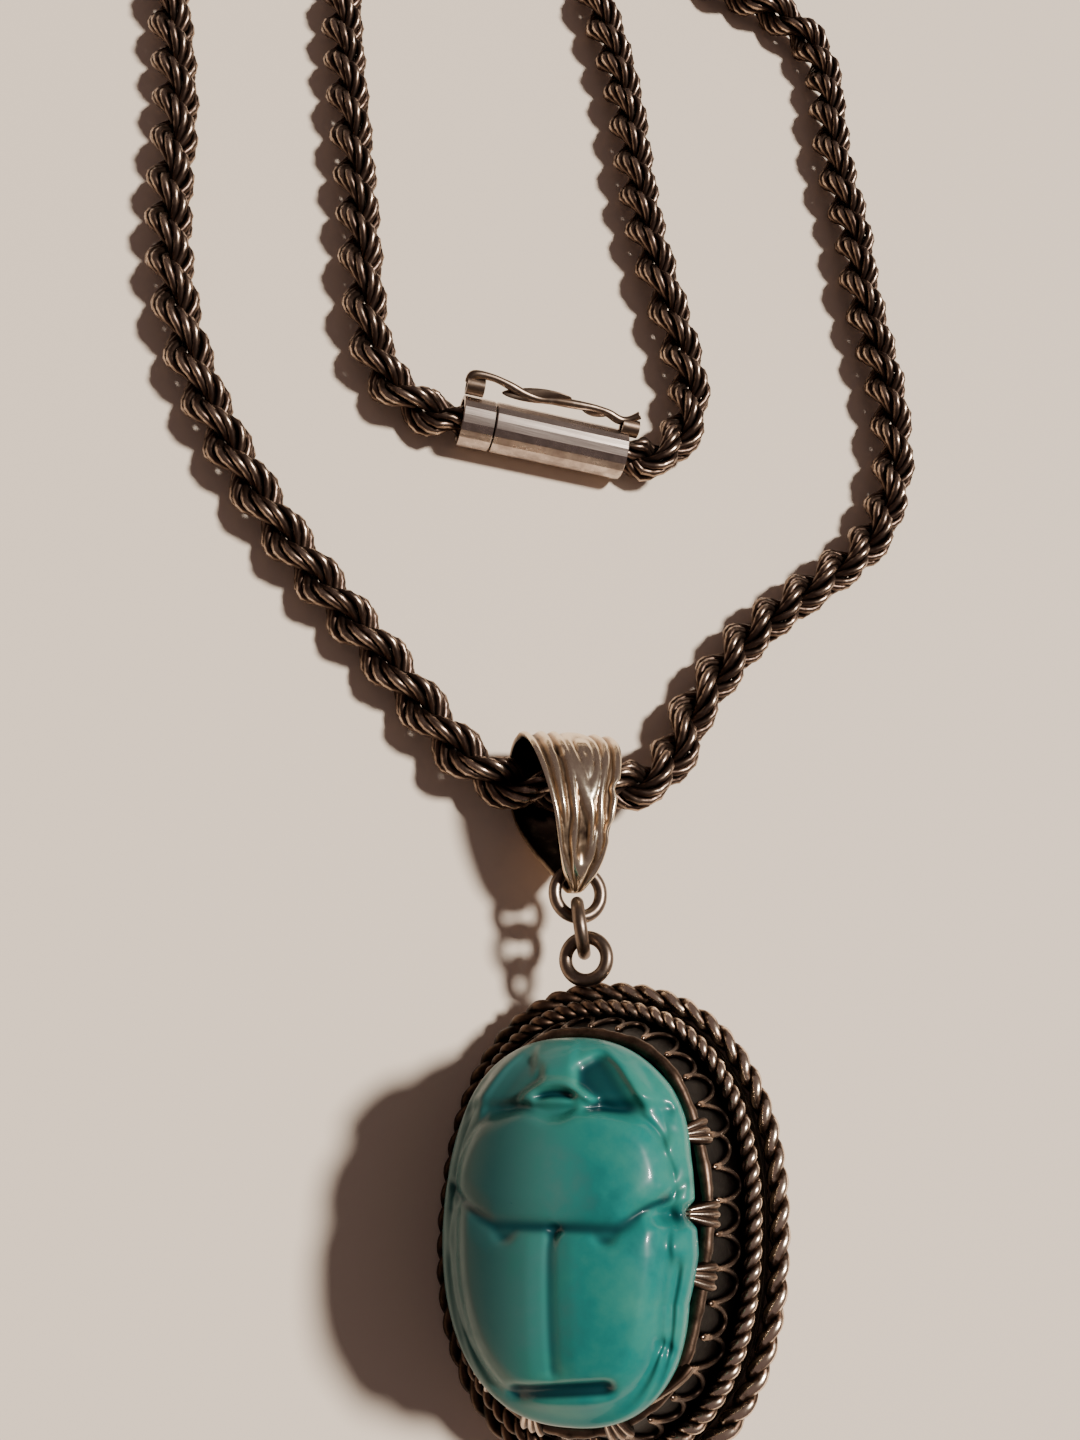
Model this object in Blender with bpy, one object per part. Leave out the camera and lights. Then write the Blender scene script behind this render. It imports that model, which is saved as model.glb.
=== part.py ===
"""Scarab amulet: a glazed scarab in a stepped silver setting, on a fold-over bail and a rope chain.

Metres, +Z up, +Y from the amulet towards its bail.  The deep-backed setting leans on its left rim
and on its belly, as such a pendant lies when it is put down, and the chain lies on the surface.
"""
import math

import bpy
import bmesh
from mathutils import Matrix, Vector

MM = 0.001

# Setting: an oval of rope wire, with everything inside it stepped up towards the scarab
RIM_HALF_WIDTH = 11.05 * MM        # to the centre line of the outer rope wire
RIM_HALF_LENGTH = 14.3 * MM
OVAL_POWER = 2.3                   # a slightly squared oval
OUTER_ROPE = 1.0 * MM
OUTER_BEAD = 1.5 * MM
INNER_ROPE = 0.86 * MM
INNER_BEAD = 1.12 * MM
INNER_INSET = 0.9 * MM
INNER_RISE = 2.1 * MM
BEZEL_INSET = 2.75 * MM
BEZEL_RISE = 6.6 * MM
BEZEL_WIRE = 0.7 * MM
SEAT_DEPTH = 2.5 * MM              # scarab's base below the bezel wire
BELLY_CENTRE = -0.5 * MM           # centre of the rounded back's curve, over the rim plane
FLAT_SPOT = 0.22 * MM              # what the surface wears off the belly
JOINT_GAP = 0.06 * MM              # between soldered neighbours
FIT = 0.12 * MM                    # scarab in its bezel
OVAL_SIDES = 34

# Scalloped wire on the sloping gallery
SCALLOP_PITCH = 1.85 * MM
SCALLOP_WIRE = 0.36 * MM
SCALLOP_STATIONS = 4
SCALLOP_START = 0.30               # share of the slope where the round ends lie
SCALLOP_END = 0.93

# Claws: angle round the oval, width, height over the bezel wire
CLAW_PLACES = (8.0, 36.0, 144.0, 172.0, 200.0, 232.0, 258.0, 290.0, 322.0, 348.0)
CLAW_WIDTH = 1.1 * MM
CLAW_RISE = 1.5 * MM
CLAW_SHEET = 0.4 * MM

# Scarab: its oval inside the rim, its heights, and the steps of its carving
SCARAB_INSET_SIDE = 3.2 * MM
SCARAB_INSET_END = 4.0 * MM
SCARAB_HALF_WIDTH = RIM_HALF_WIDTH - SCARAB_INSET_SIDE
SCARAB_HALF_LENGTH = RIM_HALF_LENGTH - SCARAB_INSET_END
SCARAB_TURN = math.radians(4.5)    # sits a little turned in its bezel
GIRDLE_RISE = 2.2 * MM             # widest line over the bezel wire
DOME_RISE = 3.9 * MM               # back of the beetle over the widest line
DOME_POWER = 2.6
SCARAB_POWER = 2.35
GROOVE = 0.38 * MM                 # lines between the wing cases and the neck plate
LEG_STEP = 0.4 * MM                # leg band below the wing cases
HEAD_STEP = 0.75 * MM              # hollows each side of the head
REAR_STEP = 0.5 * MM               # lip behind the wing cases

# How the setting lies, and how far it has slid to the side of the chain's place
LEAN = math.radians(33.0)
SETTING_SIDE = 0.54 * MM

# Loop, link and ring up to the bail
LOOP_OUTSIDE = 3.4 * MM
RING_OUTSIDE = 3.75 * MM
LINK_OUTSIDE = 4.5 * MM
RING_WIRE = 0.8 * MM
LOOP_SIDE = -2.4 * MM              # how far the loop sits off the long axis
LOOP_RISE = 1.0 * MM
RING_DROP = 0.5 * MM               # bail ring under the loop
HANGER_TURN = math.radians(13.0)
BAIL_TURN = math.radians(-6.0)

# Bail: one strip folded over; place past the bail ring, height as a share of the ring's, and width
BAIL_SHEET = 0.5 * MM
BAIL_DOME = 0.16 * MM
BAIL_STEPS = 2
BAIL_PROFILE = (
    (0.3, 1.01, 0.6), (0.36, 1.09, 1.0), (0.8, 1.18, 1.7), (1.6, 1.27, 2.7), (3.2, 1.41, 3.6),
    (5.6, 1.53, 4.6), (8.2, 1.5, 5.8), (10.4, 1.33, 6.8), (11.9, 1.0, 7.1), (12.55, 0.62, 7.1),
    (11.95, 0.29, 7.1), (10.2, 0.085, 7.0), (7.7, 0.059, 6.6), (5.7, 0.15, 5.6), (3.7, 0.42, 4.2),
    (1.9, 0.74, 2.7), (0.8, 0.87, 1.6), (0.36, 0.92, 1.0), (0.3, 0.99, 0.6),
)

# Rope chain and clasp
CHAIN = 4.1 * MM
CHAIN_HEIGHT = 2.1 * MM            # centre line over the surface
CHAIN_IN_BAIL = 3.35 * MM
CHAIN_STEP = 7.8 * MM
MEETING_GAP = 0.4 * MM             # each chain end from the middle of the bail, and from the clasp
CLASP = 4.3 * MM
CLASP_LENGTH = 14.6 * MM
CLASP_CAP = 2.8 * MM
CLASP_CENTRE = (-8.18 * MM, 60.86 * MM)
CLASP_HEIGHT = 2.2 * MM
CLASP_TURN = math.radians(1.5)
CATCH_WIRE = 0.7 * MM
LUG = 1.5 * MM

LEFT_ROUTE = (
    (-3.1, 29.75), (-6.1, 29.1), (-9.3, 29.15), (-12.5, 31.3), (-15.8, 34.8), (-19.6, 38.5), (-24.7, 43.2),
    (-30.0, 48.9), (-34.7, 55.1), (-38.3, 61.6), (-41.0, 69.1), (-42.6, 77.0), (-43.7, 85.0),
    (-45.3, 92.0), (-47.2, 99.0), (-50.2, 110.0), (-52.8, 123.0), (-53.0, 137.0), (-49.0, 148.5),
    (-42.0, 153.0), (-35.5, 149.0), (-32.6, 139.0), (-32.6, 125.0), (-32.8, 112.0), (-32.0, 103.8),
    (-30.6, 96.5), (-28.8, 88.3), (-27.0, 80.0), (-25.4, 72.2), (-24.0, 66.6), (-21.9, 62.9),
    (-19.0, 60.9), (-17.0, 60.65),
)
RIGHT_ROUTE = (
    (-3.1, 29.75), (-0.2, 30.2), (2.4, 30.9), (4.9, 33.6), (6.3, 37.0), (8.3, 40.9), (12.3, 46.8), (18.0, 52.5),
    (23.5, 58.3), (26.2, 66.2), (26.0, 74.2), (24.6, 81.2), (23.2, 87.6), (22.4, 94.8), (20.8, 101.6),
    (19.8, 108.6), (19.2, 115.4), (16.9, 120.8), (12.0, 123.6), (5.6, 125.2), (0.2, 128.4),
    (-5.6, 128.6), (-8.8, 123.2), (-7.2, 115.8), (-5.0, 109.4), (-3.0, 102.0), (-1.6, 94.4),
    (-0.2, 87.8), (1.9, 80.9), (3.8, 75.2), (5.2, 69.6), (4.6, 65.0), (2.6, 62.0), (0.9, 61.15),
)

COLOURS = {
    "glaze": ((0.045, 0.235, 0.205), 0.22, 0.0),
    "silver_dark": ((0.16, 0.135, 0.12), 0.42, 1.0),
    "silver_rope": ((0.34, 0.30, 0.27), 0.36, 1.0),
    "silver_worn": ((0.55, 0.50, 0.46), 0.32, 1.0),
    "silver_bail": ((0.42, 0.37, 0.33), 0.34, 1.0),
}


def clear_scene():
    for item in list(bpy.data.objects):
        bpy.data.objects.remove(item, do_unlink=True)


def material(name):
    found = bpy.data.materials.get(name)
    if found:
        return found
    colour, rough, metal = COLOURS[name]
    made = bpy.data.materials.new(name)
    made.use_nodes = True
    shader = made.node_tree.nodes["Principled BSDF"]
    shader.inputs["Base Color"].default_value = (*colour, 1.0)
    shader.inputs["Roughness"].default_value = rough
    shader.inputs["Metallic"].default_value = metal
    return made


def finish(item, look, parent=None):
    """Give a new object its material, its collection, its shading and its parent."""
    item.data.materials.clear()
    item.data.materials.append(material(look))
    for owner in list(item.users_collection):
        owner.objects.unlink(item)
    pieces.objects.link(item)
    item.data.shade_smooth()
    item.data.set_sharp_from_angle(angle=math.radians(38))
    if parent is not None:
        item.parent = parent
    return item


def empty(name, parent=None):
    item = bpy.data.objects.new(name, None)
    pieces.objects.link(item)
    if parent is not None:
        item.parent = parent
    return item


def mesh_object(name, rows, look, parent, ring=False, closed=True):
    """Skin a list of rows of points; closed rows, with end caps or joined round into a ring."""
    mesh = bpy.data.meshes.new(name)
    bm = bmesh.new()
    made = [[bm.verts.new(p) for p in row] for row in rows]
    count = len(made[0])
    for k in range(len(made) if ring else len(made) - 1):
        low = made[k]
        high = made[(k + 1) % len(made)]
        for j in range(count if closed else count - 1):
            i = (j + 1) % count
            bm.faces.new((low[j], low[i], high[i], high[j]))
    if not ring:
        bm.faces.new(list(reversed(made[0])))
        bm.faces.new(made[-1])
    bmesh.ops.recalc_face_normals(bm, faces=bm.faces)
    bm.to_mesh(mesh)
    bm.free()
    item = bpy.data.objects.new(name, mesh)
    return finish(item, look, parent)


def oval_point(half_width, half_length, angle, power=OVAL_POWER):
    c = math.cos(angle)
    s = math.sin(angle)
    x = math.copysign(abs(c) ** (2.0 / power), c) * half_width
    y = math.copysign(abs(s) ** (2.0 / power), s) * half_length
    return Vector((x, y, 0.0))


def oval(inset, count, phase=0.0):
    """Points evenly spaced along the setting's oval, moved in by the inset, with outward normals."""
    fine = 1440
    a = RIM_HALF_WIDTH - inset
    b = RIM_HALF_LENGTH - inset
    dense = [oval_point(a, b, 2.0 * math.pi * k / fine) for k in range(fine)]
    lengths = [0.0]
    for k in range(fine):
        lengths.append(lengths[-1] + (dense[(k + 1) % fine] - dense[k]).length)
    total = lengths[-1]
    spots = []
    k = 0
    for n in range(count):
        want = ((n + phase) / count % 1.0) * total
        k = 0 if want < lengths[k] else k
        while lengths[k + 1] < want:
            k += 1
        share = (want - lengths[k]) / (lengths[k + 1] - lengths[k])
        here = dense[k % fine].lerp(dense[(k + 1) % fine], share)
        along = (dense[(k + 3) % fine] - dense[(k - 2) % fine]).normalized()
        spots.append((here, Vector((along.y, -along.x, 0.0))))
    return spots


def oval_length(inset):
    points = [p for p, _ in oval(inset, 360)]
    return sum((points[k] - points[k - 1]).length for k in range(len(points)))


def beaded_ring(name, inset, rise, wire, bead, look):
    """A closed twisted wire, seen from a step away as a row of beads."""
    beads = round(oval_length(inset) / bead)
    rows = []
    for k, (here, out) in enumerate(oval(inset, beads * 2)):
        radius = wire / 2.0 if k % 2 == 0 else wire * 0.36
        up = Vector((0.0, 0.0, 1.0))
        turn = [math.pi * 0.4 * j for j in range(5)]
        rows.append([here + up * rise + out * (math.cos(t) * radius) + up * (math.sin(t) * radius)
                     for t in turn])
    return mesh_object(name, rows, look, setting, ring=True)


def smooth_through(points, steps):
    """Catmull-Rom curve through the points, with a fixed number of steps a span."""
    made = []
    last = len(points) - 1
    for k in range(last):
        p0 = points[max(k - 1, 0)]
        p1 = points[k]
        p2 = points[k + 1]
        p3 = points[min(k + 2, last)]
        for n in range(steps):
            t = n / steps
            made.append((p1 * 2.0 + (p2 - p0) * t + (p0 * 2.0 - p1 * 5.0 + p2 * 4.0 - p3) * t ** 2
                         + (p1 * 3.0 - p0 - p2 * 3.0 + p3) * t ** 3) * 0.5)
    made.append(points[-1])
    return made


def evenly(points, step):
    """The same line as points a fixed step apart."""
    total = sum((points[k + 1] - points[k]).length for k in range(len(points) - 1))
    count = max(2, round(total / step))
    want = [total * n / count for n in range(count + 1)]
    out = [points[0]]
    gone = 0.0
    k = 0
    for target in want[1:-1]:
        while gone + (points[k + 1] - points[k]).length < target:
            gone += (points[k + 1] - points[k]).length
            k += 1
        share = (target - gone) / (points[k + 1] - points[k]).length
        out.append(points[k].lerp(points[k + 1], share))
    out.append(points[-1])
    return out


def tube(name, points, diameter, look, parent, resolution=2):
    """A plain round tube along a polyline, made a closed mesh with welded caps."""
    curve = bpy.data.curves.new(name + "_line", "CURVE")
    curve.dimensions = "3D"
    curve.bevel_depth = diameter / 2.0
    curve.bevel_resolution = resolution
    curve.use_fill_caps = True
    line = curve.splines.new("POLY")
    line.points.add(len(points) - 1)
    for spot, p in zip(line.points, points):
        spot.co = (*p, 1.0)
    guide = bpy.data.objects.new(name + "_line", curve)
    pieces.objects.link(guide)
    shape = bpy.data.meshes.new_from_object(guide.evaluated_get(bpy.context.evaluated_depsgraph_get()))
    bm = bmesh.new()
    bm.from_mesh(shape)
    bmesh.ops.remove_doubles(bm, verts=bm.verts, dist=1e-7)
    bm.to_mesh(shape)
    bm.free()
    item = bpy.data.objects.new(name, shape)
    item.matrix_world = guide.matrix_world
    bpy.data.objects.remove(guide, do_unlink=True)
    return finish(item, look, parent)


def wire_ring(name, outside, wire, place, turn, look, parent):
    bpy.ops.mesh.primitive_torus_add(major_segments=18, minor_segments=6,
                                     major_radius=(outside - wire) / 2.0, minor_radius=wire / 2.0,
                                     location=(0.0, 0.0, 0.0))
    item = bpy.context.object
    item.name = name
    finish(item, look, parent)
    item.location = place
    item.rotation_euler = turn
    return item


def bump(distance, width):
    """A soft round bump or groove of the given width: 1 in the middle and 0 beyond it."""
    t = min(abs(distance) / width, 1.0)
    return (1.0 - t * t) ** 2


def step(value, start, end):
    """0 before the start, 1 past the end, and smooth between them."""
    t = min(max((value - start) / (end - start), 0.0), 1.0)
    return t * t * (3.0 - 2.0 * t)


def scarab_relief(x, y):
    """Carving on the beetle's back, for a place given as shares of its half width and half length."""
    side = abs(x)
    cut = 0.0
    neck_line = -0.02 + 0.35 * max(0.0, side - 0.5) ** 1.2
    cut -= GROOVE * bump(y - neck_line, 0.05)
    if y < neck_line:
        cut -= GROOVE * bump(x, 0.055)
    case = (side / 0.76) ** 2.3 + (abs(y) / 0.9) ** 2.3
    plate = (side / 0.82) ** 3.2 + (abs(y) / 0.585) ** 3.2
    edge = case if y < 0.0 else plate
    if y < 0.55:
        cut -= LEG_STEP * step(edge, 1.0, 1.18) + GROOVE * 0.6 * bump(edge - 1.08, 0.12) * bump(y, 0.8)
    cut -= REAR_STEP * step(-y, 0.77, 0.82) * bump(x, 0.75)
    if y > 0.5:
        front = step(y, 0.55, 0.6)
        arch = 0.725 - 1.1 * x * x
        cheek = step(side, 0.12, 0.2) * (1.0 - step(side + 0.55 * (y - 0.6), 0.5, 0.6))
        hollow = cheek * step(abs(y - arch), 0.02, 0.07) * (1.0 - step(y, 0.86, 0.93))
        brow = bump(x, 0.3) * (bump(y - 0.65, 0.05) + bump(y - 0.78, 0.04) * 0.7)
        cut -= front * (LEG_STEP * 0.5 + HEAD_STEP * hollow + GROOVE * brow)
    return cut


def scarab_surface(x, y):
    """Height over the widest line for a point of the oval, from -1 to 1 both ways."""
    reach = min(1.0, (abs(x) ** SCARAB_POWER + abs(y) ** SCARAB_POWER) ** (1.0 / SCARAB_POWER))
    height = DOME_RISE * max(0.0, 1.0 - reach ** DOME_POWER) ** (1.0 / 1.9)
    return max(height + scarab_relief(x, y) * min(1.0, (1.0 - reach) * 6.0), 0.0)


def build_scarab():
    """Grid mapped on the oval for the back, then the leg band and the base as rows under its edge."""
    columns = [-1.0, -0.94, -0.86, -0.8, -0.75, -0.62, -0.48, -0.34, -0.2, -0.12, -0.05, 0.0]
    columns += [-c for c in reversed(columns[:-1])]
    lines = [-1.0, -0.94, -0.88, -0.84, -0.78, -0.65, -0.5, -0.35, -0.2, -0.08, -0.02, 0.04, 0.12,
             0.25, 0.4, 0.52, 0.58, 0.64, 0.69, 0.74, 0.79, 0.86, 0.92, 0.96, 1.0]
    mesh = bpy.data.meshes.new("scarab")
    bm = bmesh.new()
    base = BEZEL_RISE - SEAT_DEPTH
    girdle = BEZEL_RISE + GIRDLE_RISE
    grid = []
    for v in lines:
        row = []
        for u in columns:
            angle_x = u * math.sqrt(max(0.0, 1.0 - v * v / 2.0))
            angle_y = v * math.sqrt(max(0.0, 1.0 - u * u / 2.0))
            reach = math.hypot(angle_x, angle_y)
            angle = math.atan2(angle_y, angle_x)
            edge = oval_point(1.0, 1.0, angle, SCARAB_POWER)
            x = edge.x * reach
            y = edge.y * reach
            row.append(bm.verts.new((x * SCARAB_HALF_WIDTH, y * SCARAB_HALF_LENGTH,
                                     girdle + scarab_surface(x, y))))
        grid.append(row)
    for j in range(len(lines) - 1):
        for i in range(len(columns) - 1):
            bm.faces.new((grid[j][i], grid[j][i + 1], grid[j + 1][i + 1], grid[j + 1][i]))
    border = [grid[0][i] for i in range(len(columns))]
    border += [grid[j][-1] for j in range(1, len(lines))]
    border += [grid[-1][i] for i in range(len(columns) - 2, -1, -1)]
    border += [grid[j][0] for j in range(len(lines) - 2, 0, -1)]
    seat_width = RIM_HALF_WIDTH - BEZEL_INSET - BEZEL_WIRE / 2.0 - FIT
    seat_length = RIM_HALF_LENGTH - BEZEL_INSET - BEZEL_WIRE / 2.0 - FIT
    narrow_x = min(1.0, seat_width / SCARAB_HALF_WIDTH)
    narrow_y = min(1.0, seat_length / SCARAB_HALF_LENGTH)
    above = border
    for share, height in ((0.0, girdle - 0.35 * GIRDLE_RISE), (0.25, girdle - 0.6 * GIRDLE_RISE),
                          (1.0, BEZEL_RISE), (1.0, base)):
        pinch_x = 1.0 + (narrow_x - 0.03 - 1.0) * share
        pinch_y = 1.0 + (narrow_y - 0.03 - 1.0) * share
        below = [bm.verts.new((v.co.x * pinch_x, v.co.y * pinch_y, height)) for v in border]
        count = len(border)
        for k in range(count):
            n = (k + 1) % count
            bm.faces.new((above[k], below[k], below[n], above[n]))
        above = below
    bm.faces.new(list(reversed(above)))
    bmesh.ops.recalc_face_normals(bm, faces=bm.faces)
    bm.to_mesh(mesh)
    bm.free()
    item = finish(bpy.data.objects.new("scarab", mesh), "glaze", setting)
    item.rotation_euler = (0.0, 0.0, SCARAB_TURN)
    return item


def ring_row(inset, rise, count=OVAL_SIDES):
    return [p + Vector((0.0, 0.0, rise)) for p, _ in oval(inset, count)]


def build_back():
    """Rounded back, its flange and the step up to the inner rope.

    The belly's radius is what reaches the surface from the height at which the rim holds it.
    """
    belly = setting.location.z + BELLY_CENTRE * math.cos(LEAN) + FLAT_SPOT
    rows = []
    for k in range(7):
        angle = math.radians(10.0 + 12.0 * k)
        inset = RIM_HALF_WIDTH - belly * math.sin(angle)
        rows.append(ring_row(inset, BELLY_CENTRE - belly * math.cos(angle)))
    edge = OUTER_ROPE / 2.0 + JOINT_GAP * 1.5
    rows.append(ring_row(edge + 0.3 * MM, -OUTER_ROPE * 0.42))
    rows.append(ring_row(edge, -OUTER_ROPE * 0.2))
    rows.append(ring_row(edge, OUTER_ROPE * 0.3))
    rows.append(ring_row(INNER_INSET - INNER_ROPE * 0.2, INNER_RISE - INNER_ROPE / 2.0 - JOINT_GAP * 1.5))
    shelf = INNER_INSET + INNER_ROPE / 2.0 + JOINT_GAP
    rows.append(ring_row(shelf, INNER_RISE - INNER_ROPE / 2.0 - JOINT_GAP * 1.5))
    item = mesh_object("back_shell", rows, "silver_dark", setting)
    return item


def gallery_spot(share):
    """Inset and rise on the outside of the sloping gallery, from its foot to the bezel wire."""
    foot = (INNER_INSET + INNER_ROPE / 2.0 + JOINT_GAP * 1.5, INNER_RISE - INNER_ROPE / 2.0)
    head = (BEZEL_INSET - BEZEL_WIRE * 0.35, BEZEL_RISE - BEZEL_WIRE / 2.0 - JOINT_GAP * 2.5)
    return (foot[0] + (head[0] - foot[0]) * share, foot[1] + (head[1] - foot[1]) * share)


def build_gallery():
    """Sloping wall with the seat of the scarab sunk in it."""
    foot = gallery_spot(0.0)
    head = gallery_spot(1.0)
    inner = BEZEL_INSET + BEZEL_WIRE / 2.0
    floor = BEZEL_RISE - SEAT_DEPTH - JOINT_GAP
    rows = [ring_row(RIM_HALF_WIDTH * 0.75, foot[1]), ring_row(*foot), ring_row(*gallery_spot(0.5)),
            ring_row(*head), ring_row(inner, head[1]), ring_row(inner, floor),
            ring_row(RIM_HALF_WIDTH * 0.75, floor)]
    return mesh_object("gallery", rows, "silver_dark", setting)


def build_scallops():
    """One wire laid on the gallery in a row of round-ended loops."""
    mid = gallery_spot((SCALLOP_START + SCALLOP_END) / 2.0)
    number = round(oval_length(mid[0]) / SCALLOP_PITCH)
    stations = number * SCALLOP_STATIONS
    foot = gallery_spot(0.0)
    head = gallery_spot(1.0)
    slope = Vector((head[1] - foot[1], head[0] - foot[0])).normalized()
    stand = SCALLOP_WIRE / 2.0 + JOINT_GAP
    base = oval(mid[0], stations)
    centres = []
    for k, (here, out) in enumerate(base):
        wave = 0.5 - 0.5 * math.cos(2.0 * math.pi * k / SCALLOP_STATIONS)
        share = SCALLOP_END + (SCALLOP_START - SCALLOP_END) * wave ** 0.7
        spot = gallery_spot(share)
        step = (mid[0] - spot[0]) + stand * slope.x
        centres.append((here + out * step + Vector((0, 0, spot[1] + stand * slope.y)),
                        (out * slope.x + Vector((0, 0, slope.y))).normalized()))
    rows = []
    for k, (here, up) in enumerate(centres):
        along = (centres[(k + 1) % stations][0] - centres[k - 1][0]).normalized()
        side = along.cross(up).normalized()
        lift = side.cross(along).normalized()
        rows.append([here + side * (math.cos(t) * SCALLOP_WIRE / 2.0) + lift * (math.sin(t) * SCALLOP_WIRE / 2.0)
                     for t in (0.0, math.pi / 2.0, math.pi, math.pi * 1.5)])
    return mesh_object("gallery_scallops", rows, "silver_dark", setting, ring=True)


def build_bezel_wire():
    rows = []
    for here, out in oval(BEZEL_INSET, OVAL_SIDES):
        up = Vector((0.0, 0.0, 1.0))
        rows.append([here + up * BEZEL_RISE + out * (math.cos(math.pi / 3.0 * j) * BEZEL_WIRE / 2.0)
                     + up * (math.sin(math.pi / 3.0 * j) * BEZEL_WIRE / 2.0) for j in range(6)])
    return mesh_object("bezel_wire", rows, "silver_rope", setting, ring=True)


def build_claw(number, degrees):
    """A tapered tab on the outside of the bezel wire, bent in over the scarab's leg band."""
    angle = math.radians(degrees)
    a = RIM_HALF_WIDTH - BEZEL_INSET
    b = RIM_HALF_LENGTH - BEZEL_INSET
    here = oval_point(a, b, angle)
    ahead = oval_point(a, b, angle + 0.02)
    along = (ahead - here).normalized()
    out = Vector((along.y, -along.x, 0.0))
    stand = BEZEL_WIRE / 2.0 + JOINT_GAP + CLAW_SHEET / 2.0
    foot = BEZEL_RISE - BEZEL_WIRE * 0.3
    rows = []
    for rise, step, width in ((0.0, stand, 1.0), (0.45, stand, 0.95), (0.75, stand * 0.96, 0.75),
                              (1.0, stand * 0.8, 0.4)):
        centre = here + out * step + Vector((0.0, 0.0, foot + CLAW_RISE * rise))
        half = CLAW_WIDTH * width / 2.0
        deep = CLAW_SHEET / 2.0 * (1.0 - 0.3 * rise)
        rows.append([centre + along * half + out * deep, centre - along * half + out * deep,
                     centre - along * half - out * deep, centre + along * half - out * deep])
    return mesh_object(f"claw_{number}", rows, "silver_rope", setting)


def build_bail(parent, ring_reach, ring_height):
    """Leaf-shaped strip folded over the chain, its two tips meeting inside the bail ring."""
    line = smooth_through([Vector((w * MM, ring_reach + y * MM, z * ring_height))
                           for y, z, w in BAIL_PROFILE], BAIL_STEPS)
    rows = []
    for k, p in enumerate(line):
        before = line[max(k - 1, 0)]
        after = line[min(k + 1, len(line) - 1)]
        along = Vector((0.0, after.y - before.y, after.z - before.z)).normalized()
        out = Vector((0.0, -along.z, along.y))
        half = p.x / 2.0
        sag = BAIL_DOME * min(1.0, half / (4.0 * MM))
        centre = Vector((0.0, p.y, p.z))
        deep = BAIL_SHEET / 2.0
        row = []
        for share in (-1.0, -0.5, 0.0, 0.5, 1.0):
            row.append(centre + Vector((half * share, 0, 0)) + out * (deep - sag * share * share))
        for share in (1.0, 0.5, 0.0, -0.5, -1.0):
            row.append(centre + Vector((half * share, 0, 0)) - out * (deep + sag * share * share))
        rows.append(row)
    bail = mesh_object("bail", rows, "silver_bail", parent)
    ring_centre = Vector((0.0, ring_reach, 0.0))
    bail.rotation_euler = (0.0, 0.0, BAIL_TURN)
    bail.location = ring_centre - Matrix.Rotation(BAIL_TURN, 3, "Z") @ ring_centre
    return bail


def route(points, end_height):
    """The chain's smooth centre line: up over the bail's back leaf, then along the surface."""
    line = []
    for k, (x, y) in enumerate(points):
        rise = CHAIN_IN_BAIL if k < 3 else CHAIN_HEIGHT
        if k == 3:
            rise = (CHAIN_IN_BAIL + CHAIN_HEIGHT) / 2.0
        if k >= len(points) - 2:
            rise = end_height
        line.append(Vector((x * MM, y * MM, rise)))
    return line


def build_chain(name, points, side, parent):
    """One stretch of the chain; side is -1 for the clasp's cap end and 1 for its barrel end."""
    line = route(points, CLASP_HEIGHT)
    first = (line[1] - line[0]).normalized()
    line[0] = line[0] + first * MEETING_GAP
    fine = smooth_through(line, 12)
    end = Vector((*CLASP_CENTRE, CLASP_HEIGHT))
    end += Vector((math.cos(CLASP_TURN), math.sin(CLASP_TURN), 0.0)) * side * (CLASP_LENGTH / 2.0 + MEETING_GAP)
    return tube(name, evenly(fine, CHAIN_STEP) + [end], CHAIN, "silver_rope", parent, 2)


def build_clasp(parent):
    """Barrel clasp: a short cap on the left, a long barrel, and the bent-wire safety catch."""
    clasp = empty("clasp_place", parent)
    clasp.location = (CLASP_CENTRE[0], CLASP_CENTRE[1], CLASP_HEIGHT)
    clasp.rotation_euler = (0.0, 0.0, CLASP_TURN)
    half = CLASP_LENGTH / 2.0
    seam = -half + CLASP_CAP
    for name, start, end in (("clasp_cap", -half, seam - JOINT_GAP), ("clasp_barrel", seam + JOINT_GAP, half)):
        bpy.ops.mesh.primitive_cylinder_add(vertices=16, radius=CLASP / 2.0, depth=end - start)
        item = bpy.context.object
        item.name = name
        finish(item, "silver_worn", clasp)
        item.location = ((start + end) / 2.0, 0.0, 0.0)
        item.rotation_euler = (0.0, math.pi / 2.0, 0.0)
    side = CLASP / 2.0
    lug_turn = math.radians(48.0)
    away = Vector((0.0, math.cos(lug_turn), math.sin(lug_turn)))
    base = side + LUG / 2.0 + JOINT_GAP
    for name, x in (("catch_lug_left", -half + 1.3 * MM), ("catch_lug_right", half - 0.9 * MM)):
        bpy.ops.mesh.primitive_cylinder_add(vertices=10, radius=LUG / 2.0, depth=1.6 * MM)
        item = bpy.context.object
        item.name = name
        finish(item, "silver_worn", clasp)
        item.location = away * base + Vector((x, 0.0, 0.0))
        item.rotation_euler = (0.0, math.pi / 2.0, 0.0)
    reach = base + LUG / 2.0 + CATCH_WIRE / 2.0 + JOINT_GAP
    bend = []
    for x, lift in ((-half + 0.7 * MM, 0.0), (-half + 2.4 * MM, 0.12 * MM), (-half + 4.2 * MM, -0.5 * MM),
                    (-half + 6.2 * MM, -0.75 * MM), (0.8 * MM, -0.5 * MM), (half - 4.2 * MM, -0.7 * MM),
                    (half - 2.3 * MM, -0.2 * MM), (half - 0.6 * MM, 0.05 * MM)):
        bend.append(away * (reach + lift) + Vector((x, 0.0, 0.0)))
    tube("safety_catch", smooth_through(bend, 2), CATCH_WIRE, "silver_worn", clasp, 1)


def world_box(items):
    low = Vector((1e9, 1e9, 1e9))
    high = Vector((-1e9, -1e9, -1e9))
    for item in items:
        for v in item.data.vertices:
            p = item.matrix_world @ v.co
            low = Vector(map(min, low, p))
            high = Vector(map(max, high, p))
    return low, high


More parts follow.
